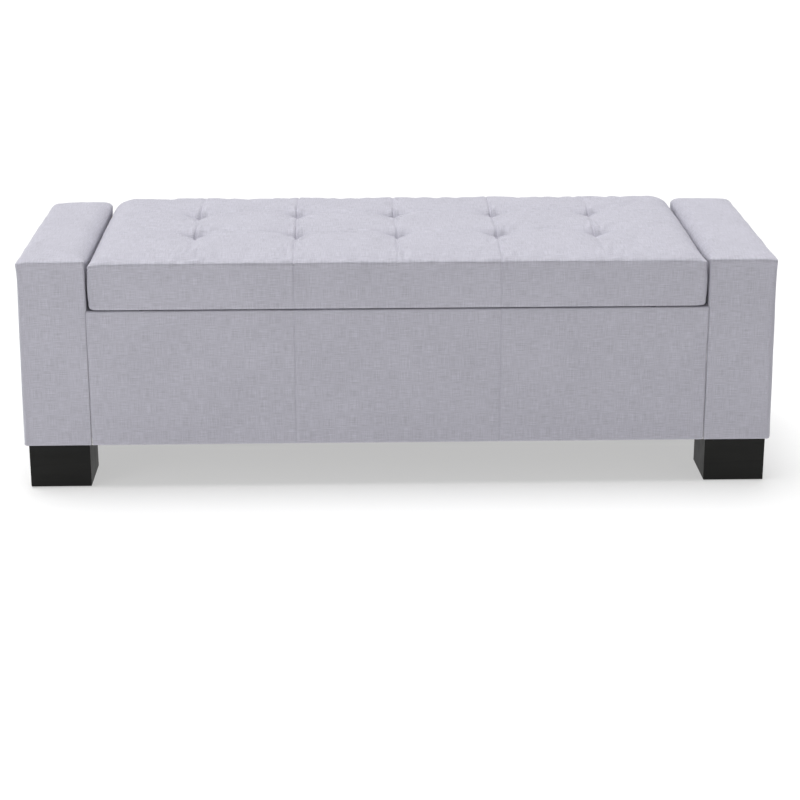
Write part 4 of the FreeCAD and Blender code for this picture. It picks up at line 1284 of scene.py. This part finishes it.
FINISHES = {
    "linen": (linen,),
    "plywood": (wood, "Birch plywood", (0.60, 0.44, 0.27)),
    "softwood": (wood, "Planed pine", (0.66, 0.48, 0.27), 0.6),
    "hardboard": (wood, "Brown fibreboard", (0.30, 0.19, 0.11), 0.85),
    "lacquer": (lacquer,),
    "zinc": (zinc,),
    "foam": (
        plain, "Upholstery foam", (0.62, 0.55, 0.36), (0.80, 0.74, 0.55), 0.9, 0.6, 0.0008
    ),
    "wadding": (
        plain, "White wadding", (0.70, 0.70, 0.70), (0.86, 0.86, 0.86), 0.95, 0.6, 0.001
    ),
    "black felt": (
        plain, "Black non-woven cloth",
        (0.018, 0.018, 0.020), (0.058, 0.058, 0.062), 0.9, 0.5, 0.0004,
    ),
    "rubber": (plain, "Black rubber", (0.015, 0.015, 0.015), (0.028, 0.028, 0.028), 0.6),
    "plastic": (
        plain, "Black moulded plastic", (0.020, 0.020, 0.020), (0.032, 0.032, 0.032), 0.45
    ),
    "twine": (plain, "Waxed twine", (0.55, 0.54, 0.50), (0.75, 0.74, 0.70), 0.7),
    "floor": (lit_floor,),
}
MADE = {}


def finish(name):
    """The named finish, made the first time it is asked for."""
    if name not in MADE:
        maker, *values = FINISHES[name]
        MADE[name] = maker(*values)
    return MADE[name]


SLOT_FINISHES = {
    "plywood": "plywood",
    "softwood": "softwood",
    "hardboard": "hardboard",
    "black_wood": "lacquer",
    "zinc_steel": "zinc",
    "black_rubber": "rubber",
    "glide_plastic": "plastic",
    "twine": "twine",
    "grey_fabric": "linen",
    "foam": "foam",
    "wadding": "wadding",
    "black_felt": "black felt",
}


class BENCH_OT_finishes(bpy.types.Operator):
    """Gives the boards, feet and hardware that keep their CAD shapes their finishes."""

    bl_idname = "bench.finishes"
    bl_label = "Board and metal finishes"

    def execute(self, context):
        slots = {entry["node"]: entry["material_slot"] for entry in frame["record"]["subparts"]}
        for name, obj in NODES.items():
            if not obj.material_slots:
                obj.data.materials.append(None)
            for slot in obj.material_slots:
                slot.material = finish(SLOT_FINISHES[slots[name]])
        return {"FINISHED"}


FLOOR_REACH = 300.0
EYE_PLACE = (-0.0823, -3.5354, 1.2402)
EYE_TURN = (math.pi / 2 - 0.3161, 0.0012, -0.026)


class BENCH_OT_stage(bpy.types.Operator):
    """Sets the floor, the soft studio light and the camera."""

    bl_idname = "bench.stage"
    bl_label = "Floor, lights and camera"

    def execute(self, context):
        s = context.scene.bench_stage
        ends = np.linspace(-FLOOR_REACH, FLOOR_REACH, 9)
        gx, gy = np.meshgrid(ends, ends, indexing="ij")
        points = np.stack([gx, gy, np.zeros_like(gx)], axis=-1).reshape(-1, 3)
        mesh = bpy.data.meshes.new("floor")
        mesh.from_pydata(points.tolist(), [], grid_quads(9, 9).tolist())
        mesh.materials.append(finish("floor"))
        floor = bpy.data.objects.new("floor", mesh)
        context.scene.collection.objects.link(floor)

        world = bpy.data.worlds.new("Even surround")
        world.use_nodes = True
        back = world.node_tree.nodes["Background"]
        tree = world.node_tree
        where = tree.nodes.new("ShaderNodeTexCoord")
        split = tree.nodes.new("ShaderNodeSeparateXYZ")
        fade = tree.nodes.new("ShaderNodeMapRange")
        for label, value in (
            ("From Min", 0.06), ("From Max", 0.17), ("To Min", 1.05), ("To Max", s.surround)
        ):
            fade.inputs[label].default_value = value
        tree.links.new(where.outputs["Generated"], split.inputs[0])
        tree.links.new(split.outputs["Z"], fade.inputs["Value"])
        tree.links.new(fade.outputs["Result"], back.inputs["Strength"])
        back.inputs["Color"].default_value = (1.0, 1.0, 1.0, 1.0)
        context.scene.world = world
        context.scene.view_settings.view_transform = "Standard"

        above = bpy.data.lights.new("overhead", "SUN")
        above.angle = math.radians(44)
        above.energy = s.overhead
        beside = bpy.data.lights.new("from_left", "AREA")
        beside.shape = "DISK"
        beside.size = 0.9
        beside.energy = s.side
        for light, place, turn in (
            (above, (0.0, 0.0, 3.0), (-9, -7, 0)),
            (beside, (-1.75, -1.45, 0.75), (76, 0, -50)),
        ):
            lamp = bpy.data.objects.new(light.name, light)
            lamp.location = place
            lamp.rotation_euler = [math.radians(angle) for angle in turn]
            context.scene.collection.objects.link(lamp)

        camera = bpy.data.cameras.new("view")
        camera.sensor_width = 36.0
        camera.lens = s.lens
        camera.clip_end = 1000.0
        eye = bpy.data.objects.new("view", camera)
        eye.location = EYE_PLACE
        eye.rotation_euler = EYE_TURN
        context.scene.collection.objects.link(eye)
        context.scene.camera = eye
        return {"FINISHED"}


OPERATORS = (
    BENCH_OT_lid,
    BENCH_OT_arms,
    BENCH_OT_box_panels,
    BENCH_OT_linings,
    BENCH_OT_finishes,
    BENCH_OT_stage,
)
SETTINGS = {
    "bench_cloth": ClothSettings,
    "bench_lid": LidSettings,
    "bench_arm": ArmSettings,
    "bench_stage": StageSettings,
}


class BENCH_PT_panel(bpy.types.Panel):
    """The bench's settings and the buttons that build it."""

    bl_label = "Storage bench"
    bl_idname = "BENCH_PT_panel"
    bl_space_type = "VIEW_3D"
    bl_region_type = "UI"
    bl_category = "Bench"

    def draw(self, context):
        for name, group in SETTINGS.items():
            box = self.layout.box()
            for prop in group.__annotations__:
                box.prop(getattr(context.scene, name), prop)
        for operator in OPERATORS:
            self.layout.operator(operator.bl_idname)


def register():
    """Registers the settings, operators and panel."""
    for name, group in SETTINGS.items():
        bpy.utils.register_class(group)
        setattr(bpy.types.Scene, name, bpy.props.PointerProperty(type=group))
    for operator in OPERATORS:
        bpy.utils.register_class(operator)
    bpy.utils.register_class(BENCH_PT_panel)


def unregister():
    """Takes the panel, operators and settings away again."""
    bpy.utils.unregister_class(BENCH_PT_panel)
    for operator in reversed(OPERATORS):
        bpy.utils.unregister_class(operator)
    for name, group in reversed(SETTINGS.items()):
        delattr(bpy.types.Scene, name)
        bpy.utils.unregister_class(group)


def main():
    """Builds the whole bench."""
    register()
    for operator in OPERATORS:
        area, name = operator.bl_idname.split(".")
        if getattr(getattr(bpy.ops, area), name)() != {"FINISHED"}:
            raise RuntimeError(f"{operator.bl_label} wasn't finished")


if __name__ == "__main__":
    main()
